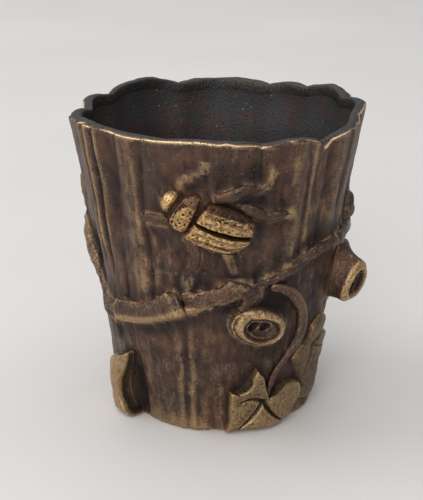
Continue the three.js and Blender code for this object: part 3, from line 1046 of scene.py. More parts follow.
@dataclass
class Maker:
    """Builds pieces on one stump.

    Attributes:
        bark: The stump's surface.
        trail: Where the ornaments meet it.
        root: How deep a stem or stub may reach into it, less than the wall.
        bed: How deep the underside of a pad lies in it.
    """

    bark: Bark
    trail: Trail = field(default_factory=Trail)
    root: float = 2.4
    bed: float = 1.4

    def declare(self, piece: bpy.types.Object, node: str, slot: str) -> None:
        """Parents a finished piece to the root body, hides its CAD part and reports it.

        Args:
            piece: The piece.
            node: The CAD node it stands for.
            slot: The record's material slot; not used.
        """
        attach(piece, "root")
        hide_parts(node)
        log.info("%s: %d faces", piece.name, len(piece.data.polygons))

    def hand_in(self, piece: bpy.types.Object, finish: Finish, node: str, slot: str) -> None:
        """Args:
            piece: The piece.
            finish: Its finish.
            node: The CAD node it stands for.
            slot: The record's material slot.
        """
        piece.data.materials.clear()
        piece.data.materials.append(finish.value.build())
        self.declare(piece, node, slot)

    def weather(
        self,
        relief: Relief,
        gain: float = 1.0,
        proud: float = 0.25,
        base: float = 0.0,
        full: float = 3.0,
        extra: Array | float = 0.0,
        dark: Array | float = 0.0,
    ) -> None:
        """Sets the worn mask and the hollow mask of painted shade from the piece's own shape.

        Args:
            relief: The piece.
            gain: How strongly edges and creases count.
            proud: How strongly height counts.
            base: Wear everywhere.
            full: The height that gets the full wear.
            extra: Further gold, or less where negative; callers put wear here, and also painted highlights
                and painted shade.
            dark: Further painted shade.
        """
        near, wide = convexity(relief.piece, 3), convexity(relief.piece, 14)
        shape = gain * (2.2 * near + 1.0 * wide)
        lift = proud * smooth(relief.out, 0.2, full)
        write_mask(relief.piece, "worn", base + lift + shape + extra)
        # Painted shade: darker where the piece sinks to the bark and in its concave creases.
        crevice = 0.85 * bell(np.maximum(relief.out, 0.0), 0.55)
        write_mask(relief.piece, "hollow", crevice - 1.3 * shape + dark)

    def pad(
        self,
        name: str,
        edge: Sequence[Point],
        heart: Point,
        seat: Seat,
        top: Top,
        sides: int,
        rings: int,
        fillet: float,
        firm: float,
    ) -> Relief:
        """Makes a piece with a free outline that swells from the bark.

        Args:
            name: The piece's name.
            edge: Closed outline as flat stations round the heart, anticlockwise.
            heart: The point the outline is seen from.
            seat: Where the flat origin lies.
            top: Height above the bark for arrays of share (0 at the heart, 1 at the edge), x and y.
            sides: Facets round it.
            rings: Facets from the edge to the heart.
            fillet: How far the bark rises beside it, in millimetres.
            firm: How sharp the outline's corners are.

        Returns:
            The piece.
        """
        piece = dome(name, sides, rings)
        ball = read_points(piece)
        flat = np.hypot(ball[:, 0], ball[:, 1])
        under = ball[:, 2] < -0.0005
        crown = np.arctan2(flat, np.maximum(ball[:, 2], 0)) / (np.pi / 2)
        share = np.where(under, np.where(flat > 0.5, 1.0, 0.0), crown)
        share = 1 - (1 - share) ** 1.5
        turn = (np.arctan2(ball[:, 1], ball[:, 0]) / (2 * np.pi)) % 1.0
        middle = np.array(heart, float)
        reach = outline(np.array(edge, float), turn, firm) - middle
        x = middle[0] + reach[:, 0] * share
        y = middle[1] + reach[:, 1] * share
        out = np.where(under, -self.bed, top(share, x, y))
        angle, z = seat.lay(self.bark, x, y)
        write_points(piece, self.bark.place(angle, z, out))
        shade(piece)
        rim = (share > 0.97) & ~under
        self.trail.add(self.bark.place(angle[rim], z[rim], self.bark.relief(angle[rim], z[rim])), fillet)
        inner = (share > 0.3) & (share <= 0.97) & ~under
        self.trail.add(self.bark.place(angle[inner][::3], z[inner][::3], 0.0), fillet)
        return Relief(piece, out, x, y, share)

    def stem(
        self,
        name: str,
        stations: Sequence[Station],
        sides: int,
        per_mm: float,
        gnarl: float,
        swell: Sequence[Swell],
        seed: int,
        height: float,
        skirt: float,
        fillet: float,
        ease: float,
    ) -> Relief:
        """Makes a rounded stem that follows the bark.

        Args:
            name: The piece's name.
            stations: Angle, height, height of the axis above the bark, and radius.
            sides: Facets round it.
            per_mm: Rows per millimetre of length.
            gnarl: Depth of its woody grain, in millimetres.
            swell: Rings along it: where (0 to 1), how much thicker, and half-length (0 to 1).
            seed: Which grain.
            height: Height of the section over its width.
            skirt: How much further its upper side spreads, as a share of its radius.
            fillet: How far the bark rises beside it, in millimetres.
            ease: Length over which its ends round off, in radii.

        Returns:
            The piece.
        """
        bark = self.bark
        path = np.array(stations, float)
        degree = bark.per_degree(float(path[:, 1].mean()))
        length = np.hypot(np.diff(path[:, 0]) * degree, np.diff(path[:, 1])).sum()
        rows = max(12, int(length * per_mm))
        piece = sleeve(name, sides, rows)
        tube = read_points(piece)
        t = clamp(tube[:, 2] + 0.5)
        around = np.arctan2(tube[:, 1], tube[:, 0])
        here = catmull(path, t)
        near = 0.004
        step = catmull(path, np.minimum(t + near, 1.0)) - catmull(path, np.maximum(t - near, 0.0))
        forward = np.stack([step[:, 0] * degree, step[:, 1]], -1)
        forward /= np.maximum(np.linalg.norm(forward, axis=1, keepdims=True), 1e-9)
        radius = here[:, 3].copy()
        for where, more, half in swell:
            radius *= 1 + more * bell(t - where, half)
        along = t * length
        lap = around / (2 * np.pi)
        radius += gnarl * noise(lap * 9 + 0.06 * along, along / 6.0, seed, 9)
        radius += 0.6 * gnarl * noise(lap * 15 + 30, along / 1.6, seed + 1, 15)
        radius += 0.35 * gnarl * np.minimum(noise(lap * 24 + 60, along / 0.9, seed + 5, 24), 0.1)
        cap = np.minimum(along, length - along) / np.maximum(here[:, 3], 0.3)
        radius *= np.sqrt(clamp(1 - (1 - clamp(cap / ease)) ** 2, 0.03))
        upper = np.sin(around)
        side = radius * upper * (1 + skirt * clamp(upper))
        lift = radius * np.cos(around) * height
        out = np.maximum(here[:, 2] + lift, -self.root)
        angle = here[:, 0] - forward[:, 1] * side / degree
        z = here[:, 1] + forward[:, 0] * side
        write_points(piece, bark.place(angle, z, out))
        shade(piece)
        seated = np.abs(out) < 0.7
        angle, z = angle[seated], z[seated]
        self.trail.add(bark.place(angle, z, bark.relief(angle, z)), fillet)
        return Relief(piece, out, t, upper, np.abs(upper))


# ---- Stump ----


@dataclass(frozen=True)
class Rub:
    """A golden streak of bark: rubbed wear, and at -57 degrees a painted highlight."""

    angle: float
    width: float
    low: float
    high: float
    strength: float

    def mask(self, angle: Array, z: Array) -> Array:
        """Works out the streak's strength at each place.

        Args:
            angle: Angles round the stump.
            z: Heights.

        Returns:
            The streak's strength at each place.
        """
        ends = smooth(z, self.low - 6, self.low + 6) * (1 - smooth(z, self.high - 6, self.high + 6))
        sway = 0.7 * np.sin(z * 0.09 + self.angle * 0.7)
        return self.strength * bell(turned(angle, self.angle + sway), self.width) * ends


@dataclass
class Stump:
    """The bark wall and the disc in its foot.

    Attributes:
        maker: Builds on the stump.
        sides: Facets round the wall.
        outer_rows: Rows up the bark.
        inner_rows: Rows down the bore.
        foot: Height at which the bark starts, above the eased foot.
        lip: Radius of the rim's outer edge.
        fall: How far the rim's outer edge lies under its crown.
        plate_radius: Radius of the disc.
        plate_thickness: Thickness of the disc.
        ledge: Width of the ledge the disc rests under.
        gap: Room between the disc and the wall.
        reach: The greatest distance from an ornament that the bark takes notice of.
        rubs: The golden streaks of the bark.
    """

    maker: Maker
    sides: int = 540
    outer_rows: int = 118
    inner_rows: int = 30
    foot: float = 0.9
    lip: float = 0.42
    fall: float = 0.5
    plate_radius: float = 32.6
    plate_thickness: float = 3.6
    ledge: float = 1.3
    gap: float = 0.3
    reach: float = 9.0
    rubs: tuple[Rub, ...] = (
        # The streak at -57 paints the highlight of the lit left ridge as gold; the others are rubbed wear.
        Rub(-57, 1.4, 66, 110, 0.5),
        Rub(-52, 1.2, 66, 110, 0.3),
        Rub(-36, 4.0, 46, 110, 0.55),
        Rub(-33, 1.4, 50, 110, 0.45),
        Rub(-26, 3.0, 46, 76, 0.4),
        Rub(-17, 2.0, 46, 74, 0.25),
        Rub(-22, 10.0, 46, 84, 0.20),
        Rub(-18, 1.8, -10, 34, 0.55),
        Rub(-12, 1.5, -10, 38, 0.55),
        Rub(-36, 6.0, -10, 30, 0.2),
        Rub(2, 2.0, -10, 24, 0.25),
        Rub(5.5, 1.0, 86, 106, 0.3),
        Rub(19, 1.6, 82, 106, 0.35),
        Rub(30, 2.6, 52, 106, 0.5),
        Rub(38, 3.2, 60, 106, 0.70),
        Rub(50, 9.0, 62, 106, 0.50),
        Rub(84, 3.0, 50, 110, 0.4),
        Rub(120, 4.0, 20, 110, 0.4),
        Rub(148, 2.5, 10, 80, 0.4),
        Rub(171, 3.0, 40, 110, 0.45),
        Rub(190, 4.0, 0, 60, 0.4),
        Rub(216, 3.0, 30, 110, 0.45),
        Rub(243, 2.5, 20, 100, 0.4),
        Rub(274, 2.5, 60, 110, 0.4),
    )

    def profile(self, angle: Array) -> tuple[Array, Array, Array]:
        """Draws the wall's closed section at each angle, up the bark, over the rim and down the bore.

        Args:
            angle: One angle per side.

        Returns:
            The radius and the height, with one row per side, and where each column of them lies: 0 on
            the bark, 0.5 on the rim and 1 inside.
        """
        bark = self.maker.bark
        top = bark.rim(angle)[:, None]
        a = angle[:, None]
        flat = angle * 0
        chip = 0.24 * noise(angle / 360 * 110, flat, 31, 110)[:, None]
        chip = chip + 0.55 * noise(angle / 360 * 38, flat + 3, 32, 38)[:, None]
        thick = bark.wall + 0.35 + 0.75 * noise(angle / 360 * 26, flat + 9, 34, 26)[:, None]
        lip = self.lip
        share = np.concatenate([np.linspace(0, 0.988, self.outer_rows), [0.9955, 1.0]])[None, :]
        z_out = self.foot + (top - self.fall - lip + chip - self.foot) * share
        r_out = bark.radius(a, z_out) + bark.relief(a, z_out)
        edge = r_out[:, -1:]
        foot_z = np.array([[0.0, 0.25]]) + 0 * a
        foot_r = r_out[:, :1] - np.array([[1.0, 0.35]])
        bend = np.radians([30, 60, 90])[None, :]
        lip_r = edge - lip * (1 - np.cos(bend)) * 1.2
        lip_z = z_out[:, -1:] + lip * np.sin(bend)
        beside = 11
        window = np.hanning(2 * beside + 1)

        def evened(column: Array) -> Array:
            """Returns the column averaged over the neighbouring angles."""
            ring = np.concatenate([column[-beside:], column, column[:beside]])
            return np.convolve(ring, window / window.sum(), "valid")[:, None]

        inner_top = evened(top[:, 0])
        bore_top = evened(bark.radius(a, top)[:, 0]) - thick
        across = np.linspace(0.12, 0.88, 8)[None, :]
        crown = 0.65 + 0.35 * noise(angle / 360 * 34, flat + 5, 35, 34)[:, None]
        crown = crown * np.sin(np.pi * across**0.8)
        flat_r = lip_r[:, -1:] + (bore_top - lip_r[:, -1:]) * across
        flat_z = lip_z[:, -1:] + (inner_top - 0.5 - lip_z[:, -1:]) * across + crown
        inner = np.radians([20, 45, 70, 90])[None, :]
        inner_r = bore_top + 1.0 * (1 - np.sin(inner))
        inner_z = inner_top - 0.7 - 1.3 * (1 - np.cos(inner))
        shoulder = self.plate_thickness + self.gap
        down = np.linspace(0, 1, self.inner_rows)[None, 1:] ** 1.15
        z_in = inner_z[:, -1:] + (shoulder - inner_z[:, -1:]) * down
        wave = 0.40 * noise(a / 360 * 22 + 0 * z_in, z_in / 16.0, 33, 22)
        wave = wave + 0.10 * noise(a / 360 * 120 + 0 * z_in, z_in / 3.0, 36, 120)
        lobed = bore_top + bark.wall - bark.mean_radius(inner_top)
        r_in = bark.mean_radius(z_in) - bark.wall + lobed * (1 - 0.85 * smooth(down, 0.05, 0.35)) + wave
        r_in = bore_top + (r_in - bore_top) * smooth(down, 0.0, 0.16)
        seat = self.plate_radius + self.gap
        foot_in = np.array([[seat - self.ledge, shoulder], [seat, shoulder], [seat, 0.0]])
        seat_r = foot_in[:, 0][None, :] + 0 * a
        seat_z = foot_in[:, 1][None, :] + 0 * a
        radius = np.hstack([foot_r, r_out, lip_r, flat_r, inner_r, r_in, seat_r, foot_r[:, :1]])
        height = np.hstack([foot_z, z_out, lip_z, flat_z, inner_z, z_in, seat_z, foot_z[:, :1]])
        rim_from = foot_r.shape[1] + r_out.shape[1]
        inside_from = rim_from + lip_r.shape[1] + flat_r.shape[1] + inner_r.shape[1]
        place = np.zeros(radius.shape[1])
        place[rim_from:inside_from] = 0.5
        place[inside_from:] = 1.0
        return radius, height, place

    def build_wall(self) -> bpy.types.Object:
        """Builds the bark wall, with its rim and bore.

        Returns:
            The wall.
        """
        bark = self.maker.bark
        angles = np.arange(self.sides) * 360.0 / self.sides
        radius, height, place = self.profile(angles)
        piece = sleeve("stump_wall", self.sides, radius.shape[1] - 1, "NOTHING")
        tube = read_points(piece)
        row = np.rint((tube[:, 2] + 0.5) * (radius.shape[1] - 1)).astype(int)
        lap = np.degrees(np.arctan2(tube[:, 0], -tube[:, 1])) / 360.0
        side = np.rint(lap * self.sides).astype(int) % self.sides
        a = np.radians(angles[side])
        r, z, where = radius[side, row], height[side, row], place[row]
        points = np.stack([r * np.sin(a), -r * np.cos(a), z], -1) * MILLIMETRE * bark.scale
        first = int(np.argmax(place == 0.5))
        write_mask(piece, "lip", np.select([np.abs(row - first) < 1.5, row == first + 2], [1.0, 0.5]))
        write_mask(piece, "zone", where)
        outside = where == 0.0
        lift = np.zeros(len(points))
        near, fillet = self.maker.trail.measure(points[outside], self.reach)
        lift[outside] = fillet * (0.55 * bell(near, 0.9) + 0.45 * bell(near, 2.4))
        points[:, 0] += lift * np.sin(a) * MILLIMETRE
        points[:, 1] -= lift * np.cos(a) * MILLIMETRE
        write_points(piece, points)
        activate(piece)
        bpy.ops.object.mode_set(mode="EDIT")
        bpy.ops.mesh.select_all(action="SELECT")
        bpy.ops.mesh.remove_doubles(threshold=SAME_PLACE)
        bpy.ops.object.mode_set(mode="OBJECT")
        shade(piece)
        self.wear_wall(piece)
        return piece

    def wear_wall(self, piece: bpy.types.Object) -> None:
        """Sets the wall's masks and gives its rim and inside their own finishes.

        Args:
            piece: The piece.
        """
        bark = self.maker.bark
        points = read_points(piece) / (MILLIMETRE * bark.scale)
        angle = np.degrees(np.arctan2(points[:, 0], -points[:, 1]))
        z = points[:, 2]
        top = bark.rim(angle)
        zone, lip = read_mask(piece, "zone"), read_mask(piece, "lip")
        outside, inside = zone < 0.25, zone > 0.75
        rim = ~outside & ~inside
        near = np.full(len(points), self.reach)
        near[outside] = self.maker.trail.measure(points[outside] * MILLIMETRE * bark.scale, self.reach)[0]
        fine, broad = convexity(piece, 3), convexity(piece, 16)
        shape = 1.6 * fine + 0.9 * broad
        streaks, dishes = np.zeros(len(points)), np.zeros(len(points))
        for rub in self.rubs:
            streaks = streaks + rub.mask(angle, z)
        for dish in bark.dishes:
            dishes = dishes + clamp(dish.depth) * dish.profile(angle, z)
        u = angle / 360.0
        patchy = 0.5 + 0.5 * noise(u * 60, z / 9.0, 41, 60)
        broken = 0.62 + 0.6 * noise(u * 120, z * 0, 42, 120) + 0.8 * noise(u * 34, z * 0, 43, 34)
        worn = 0.05 + 0.62 * streaks * (0.5 + 0.5 * patchy) + 0.8 * shape
        # Lighter over the lower bark, darker at the very foot, and a little darker over the upper bark below
        # the rim.
        worn = worn + 0.12 * (1 - smooth(z, 4, 34)) - 0.30 * (1 - smooth(z, 0.5, 4.5))
        worn = worn - 0.10 * smooth(z, 55, 95) * (1 - smooth(z, 99, 104))
        # Painted shade: darker beside the ornaments, in concave places and in the dishes; slightly darker
        # inside the bore.
        hollow = 0.62 * bell(near, 0.8) + 0.26 * bell(near, 3.0) - 1.2 * shape + 0.75 * dishes
        worn = np.where(outside, worn, np.where(rim, 0.04, 0.0))
        worn = worn - 0.35 * outside * smooth(z - top, -5.0, -1.5)
        # The lip's broken gold line: rubbed wear, with its highlight painted in by the edge finish.
        worn = np.maximum(worn, 1.9 * lip * clamp(broken))
        hollow = np.where(outside, hollow, np.where(rim, 0.0, 0.1))
        hollow = hollow * (1 - clamp(1.4 * lip))
        write_mask(piece, "worn", worn)
        write_mask(piece, "hollow", hollow)
        corner = np.empty(len(piece.data.loops), np.int32)
        piece.data.loops.foreach_get("vertex_index", corner)
        finishes = (Finish.BARK, Finish.RIM, Finish.INSIDE, Finish.EDGE)
        bare, rim_top, bore, edge = range(len(finishes))
        kind = np.where(inside, bore, np.where(rim & (lip < 0.3), rim_top, bare))
        kind = kind[corner].reshape(-1, 4).min(1)
        kind = np.where(lip[corner].reshape(-1, 4).min(1) > 0.3, edge, kind)
        for finish in finishes:
            piece.data.materials.append(finish.value.build())
        piece.data.polygons.foreach_set("material_index", kind.astype(np.int32))
        piece.data.update()

    def build_plate(self) -> bpy.types.Object:
        """Builds the disc that closes the foot, turned from a cylinder with eased edges.

        Returns:
            The disc.
        """
        low, high = (Vector(corner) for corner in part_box("base_plate"))
        deselect()
        middle = (low + high) / 2
        bpy.ops.mesh.primitive_cylinder_add(
            vertices=128, radius=(high.x - low.x) / 2, depth=high.z - low.z, location=middle
        )
        piece = bpy.context.object
        piece.name = "foot_disc"
        bpy.ops.object.transform_apply(location=True)
        bpy.ops.object.mode_set(mode="EDIT")
        bpy.ops.mesh.select_mode(type="FACE")
        bpy.ops.mesh.select_all(action="SELECT")
        bpy.ops.mesh.bevel(offset=0.0004, segments=3, affect="EDGES")
        select_faces(piece, lambda face: abs(face.normal.z) > 0.99)
        for _ in range(6):
            bpy.ops.mesh.inset(thickness=0.0042)
        bpy.ops.object.mode_set(mode="OBJECT")
        points = read_points(piece)
        mm = points / MILLIMETRE
        r = np.hypot(mm[:, 0], mm[:, 1])
        upper = mm[:, 2] > self.plate_thickness / 2
        ripple = 0.25 * noise(mm[:, 0] / 7.0 + 40, mm[:, 1] / 7.0 + 40, 51) * upper * (r < 31)
        points[:, 2] -= np.abs(ripple) * MILLIMETRE
        write_points(piece, points)
        shade(piece)
        write_mask(piece, "worn", 0.25 * bell(r - 32.4, 0.6))
        # Painted shade: the whole disc darker, and darker still in a ring near its edge.
        write_mask(piece, "hollow", 0.3 + 0.5 * bell(r - 31.3, 1.6) * upper)
        return piece

    def dress(self) -> None:
        self.maker.declare(self.build_wall(), "trunk_wall", "bark")
        self.maker.hand_in(self.build_plate(), Finish.INSIDE, "base_plate", "dark_cast")


# ---- Beetle ----


@dataclass
class Beetle:
    """The beetle: head, thorax, two ribbed wing cases and six legs.

    Attributes:
        maker: Builds on the stump.
        seat: Its origin, between the thorax and the wing cases; x runs to its tail.
        head_edge: Outline of the head.
        thorax_edge: Outline of the thorax.
        right_wing: Outline of the right wing case.
        left_wing: Outline of the left wing case.
        wing_long: Length of a wing case.
        wing_half: Its greatest width.
        ribs: How many ribs cross that width.
        legs: Node and stations of each leg.
    """

    maker: Maker
    seat: Seat = Seat(-8.0, 80.6, -21.4)
    head_edge: tuple[Point, ...] = (
        (-6.8, 5.2), (-7.7, 6.8), (-9.6, 6.7), (-11.5, 5.1), (-12.3, 1.7), (-10.2, -1.6), (-8.2, -1.2),
        (-7.6, 1.5),
    )
    thorax_edge: tuple[Point, ...] = (
        (-1.0, 0.5), (-0.9, 5.0), (-1.0, 8.3), (-3.2, 8.6), (-5.5, 6.8), (-6.7, 2.0), (-7.3, -2.8),
        (-5.2, -5.2), (-2.6, -5.4), (-1.3, -3.9),
    )
    right_wing: tuple[Point, ...] = (
        (18.7, 0.8), (18.8, 2.8), (17.4, 5.2), (14.2, 7.0), (9.5, 7.8), (5.0, 7.8), (1.0, 7.0), (0.2, 3.6),
        (-0.2, 0.2), (6.0, -0.5), (12.0, -0.4), (17.0, 0.3),
    )
    left_wing: tuple[Point, ...] = (
        (18.4, -0.5), (12.0, -1.4), (6.0, -1.4), (-0.4, -0.5), (-0.9, -3.4), (-1.8, -6.6), (2.4, -7.6),
        (7.0, -8.0), (12.0, -7.6), (15.6, -6.2), (17.8, -4.0), (18.7, -2.0),
    )
    wing_long: float = 18.6
    wing_half: float = 7.4
    ribs: float = 3.2
    legs: tuple[tuple[str, tuple[Station, ...]], ...] = (
        ("leg_front_left", (
            (-18.0, 79.4, 0.9, 1.5), (-23.5, 79.8, 1.0, 1.6), (-28.4, 79.6, 0.8, 1.3),
            (-31.4, 76.8, 0.3, 0.8),
        )),
        ("leg_middle_left", (
            (-11.6, 75.0, 0.9, 1.3), (-9.4, 70.2, 1.2, 1.5), (-9.2, 65.8, 1.0, 1.4), (-12.0, 61.0, 0.7, 1.1),
            (-13.7, 54.9, 0.3, 0.7),
        )),
        ("leg_hind_left", ((2.4, 71.4, 0.3, 0.8), (4.8, 66.4, 0.3, 0.7), (7.0, 61.6, 0.1, 0.6))),
        ("leg_front_right", (
            (-13.4, 90.6, 0.2, 0.7), (-13.0, 92.6, 0.3, 0.7), (-9.0, 94.8, 0.3, 0.7), (-5.2, 97.0, 0.3, 0.7),
            (-4.4, 99.4, 0.1, 0.5),
        )),
        ("leg_middle_right", (
            (-1.6, 87.2, 1.0, 1.3), (4.6, 88.2, 1.2, 1.7), (10.6, 90.0, 1.0, 1.3), (15.6, 89.6, 0.6, 0.8),
            (18.8, 91.4, 0.4, 0.7), (21.4, 95.4, 0.1, 0.6),
        )),
        ("leg_hind_right", (
            (8.0, 84.8, 1.1, 1.3), (12.6, 83.0, 1.3, 1.8), (18.0, 80.8, 1.0, 1.6), (23.6, 80.6, 0.7, 1.2),
            (29.4, 81.0, 0.3, 0.6),
        )),
    )

    @staticmethod
    def domed(share: Array, rise: float, shoulder: float, steep: float = 12.0) -> Array:
        """Returns a rounded height whose sides drop steeply into the bark.

        Args:
            share: 0 at the heart and 1 at the edge.
            rise: Height at the heart.
            shoulder: Height kept near the edge, as a share of the rise.
            steep: How close to the edge the sides drop.
        """
        crown = rise * (shoulder + (1 - shoulder) * (1 - share**2))
        return -0.5 + (crown + 0.5) * np.sqrt(clamp(1 - share**steep))

    def build_head(self) -> None:
        """Builds the smooth head."""

        def top(share: Array, x: Array, y: Array) -> Array:
            """Returns the head's height."""
            return self.domed(share, 4.5, 0.35, 7.0) + 0.08 * noise(x * 1.5 + 50, y * 1.5 + 50, 61)

        head = self.maker.pad(
            "beetle_head_cast", self.head_edge, (-9.4, 2.6), self.seat, top,
            sides=72, rings=20, fillet=0.5, firm=0.4,
        )
        self.maker.weather(head, gain=0.4, proud=0.95, base=0.30, full=3.2)
        self.maker.hand_in(head.piece, Finish.BEETLE, "beetle_head", "rubbed")

    def build_thorax(self) -> None:
        """Builds the pitted thorax with its raised border and smooth dark end."""

        def hammered(x: Array, y: Array) -> Array:
            """Returns the pattern of its pits."""
            return noise(x * 1.3 + 70, y * 1.3 + 70, 62)

        def top(share: Array, x: Array, y: Array) -> Array:
            """Works out the thorax's height.

            Args:
                share: 0 at the heart and 1 at the edge.
                x: Flat x, in mm.
                y: Flat y, in mm.

            Returns:
                The thorax's height.
            """
            pits = np.minimum(hammered(x, y), 0.1) + 0.6 * np.minimum(noise(x * 2.4 + 70, y * 2.4, 63), 0)
            border = 0.25 * bell(share - 0.88, 0.06)
            bend = 0.9 * smooth(y, 3.5, 8.6)
            pits = 0.38 * pits * (share < 0.85) * (y < 5.0)
            return self.domed(share, 4.7, 0.72, 14.0) + pits + border - bend

        thorax = self.maker.pad(
            "beetle_thorax_cast", self.thorax_edge, (-3.9, 1.4), self.seat, top,
            sides=120, rings=34, fillet=0.5, firm=0.8,
        )
        wall = smooth(thorax.share, 0.965, 0.99)
        fade = -0.75 * smooth(thorax.across, 3.0, 5.4) - 0.6 * wall
        pitted = smooth(-hammered(thorax.along, thorax.across), 0.05, 0.45)
        pitted = pitted * (thorax.share < 0.85) * (thorax.across < 5.0)
        # Painted shade: the steep wall and the pits are darkened.
        self.maker.weather(
            thorax, gain=0.9, proud=0.60, base=0.0, full=3.5, extra=fade, dark=0.5 * wall + 0.7 * pitted
        )
        self.maker.hand_in(thorax.piece, Finish.BEETLE, "beetle_thorax", "rubbed")

    def wing_place(self, x: Array, y: Array) -> tuple[Array, Array]:
        """Works out how far along and how far across a wing case each place lies, from 0 to 1.

        Args:
            x: Flat x, in mm.
            y: Flat y, in mm.

        Returns:
            How far along and how far across a wing case each place lies, from 0 to 1.
        """
        along = clamp(x / self.wing_long)
        half = self.wing_half * np.sqrt(clamp(1 - (clamp((along - 0.42) / 0.58)) ** 2.3, 0.02))
        return along, clamp(np.abs(y) / half)

    def build_wing_case(self, side: int) -> None:
        """Builds one wing case; side is 1 for the right one and -1 for the left.

        Args:
            side: 1 for the right one and -1 for the left.
        """

        def top(share: Array, x: Array, y: Array) -> Array:
            """Works out the wing case's height, with ribs that run to its tip.

            Args:
                share: 0 at the heart and 1 at the edge.
                x: Flat x, in mm.
                y: Flat y, in mm.

            Returns:
                The wing case's height, with ribs that run to its tip.
            """
            along, across = self.wing_place(x, y)
            ribs = 0.14 * np.cos(across * 2 * np.pi * self.ribs)
            ribs = ribs * smooth(along, 0.02, 0.12) * (share < 0.95)
            grain = 0.24 * noise(x * 0.9 + 90, y * 1.5 + 90, 64)
            grain = (grain + 0.12 * noise(x * 2.3 + 90, y * 2.3 + 90, 65)) * (share < 0.95)
            crown = 5.5 * np.cos(across * 1.12) ** 0.5 * (1 - 0.18 * smooth(along, 0.6, 1.0))
            return -0.5 + crown * np.sqrt(clamp(1 - share**16.0)) + ribs + grain

        edge, name = (self.right_wing, "right") if side > 0 else (self.left_wing, "left")
        heart = (8.6, 2.6 if side > 0 else -3.6)
        node = f"beetle_wing_case_{name}"
        wing = self.maker.pad(
            node + "_cast", edge, heart, self.seat, top, sides=176, rings=44, fillet=0.5, firm=0.75
        )
        x, y = wing.along, wing.across
        flank = smooth(y + 0.5 * noise(x * 0.9 + 70, y * 0.9 + 70, 67), 3.8, 6.0)
        bands = 0.06 + 0.10 * np.cos(self.wing_place(x, y)[1] * 2 * np.pi * self.ribs)
        wall = smooth(wing.share, 0.965, 0.99)
        groove_shade = bell(np.abs(y) - (3.4 if side > 0 else 5.4), 0.45) * smooth(x, 0.5, 2.5)
        groove_shade = groove_shade * smooth(noise(x * 1.4 + 70, y * 1.4 + 70, 66), -0.35, 0.25)
        # Painted shade: the far flank is darkened and loses its gold, and so are the steep wall and the two
        # groove lines.
        self.maker.weather(
            wing, gain=0.7, proud=0.55, base=0.0, full=4.0, extra=bands - 1.1 * flank - 0.6 * wall,
            dark=0.5 * wall + 0.65 * groove_shade + 0.50 * flank,
        )
        self.maker.hand_in(wing.piece, Finish.BEETLE, node, "rubbed")

    def build_legs(self) -> None:
        """Builds the six legs, thick at the thigh and pitted."""
        for i, (name, stations) in enumerate(self.legs):
            slim = stations[1][3] < 1.2
            leg = self.maker.stem(
                f"beetle_{name}_cast", stations, sides=16, per_mm=2.4, gnarl=0.12 if slim else 0.34,
                swell=((0.52, -0.2, 0.05),), seed=70 + 2 * i, height=0.8, skirt=0.25, fillet=0.9, ease=1.4,
            )
            crest = 0.62 * bell(leg.across - 0.78, 0.13) + 0.62 * bell(leg.across + 0.82, 0.11)
            crest = crest * (0.7 if slim else 1.0)
            self.maker.weather(leg, gain=0.14, proud=0.0, base=-0.06, full=2.4, extra=crest)
            self.maker.hand_in(leg.piece, Finish.LEG, f"beetle_{name}", "ornament")

    def dress(self) -> None:
        """Builds the whole beetle."""
        self.build_head()
        self.build_thorax()
        self.build_wing_case(1)
        self.build_wing_case(-1)
        self.build_legs()


# ---- Vine ----


@dataclass(frozen=True)
class Run:
    """One run of the vine.

    Attributes:
        node: The CAD node it stands for.
        stations: Angle, height, height of the axis and radius along it.
        swell: Rings along it: where, how much thicker, half-length.
        gnarl: Depth of its woody grain.
        gold: Wear at its start and at its end.
        skirt: How far its upper side spreads.
        height: Height of the section over its width.
        ease: Length over which its ends round off, in radii.
    """

    node: str
    stations: tuple[Station, ...]
    swell: tuple[Swell, ...] = ()
    gnarl: float = 0.3
    gold: tuple[float, float] = (0.55, 0.55)
    skirt: float = 0.5
    height: float = 0.9
    ease: float = 0.25


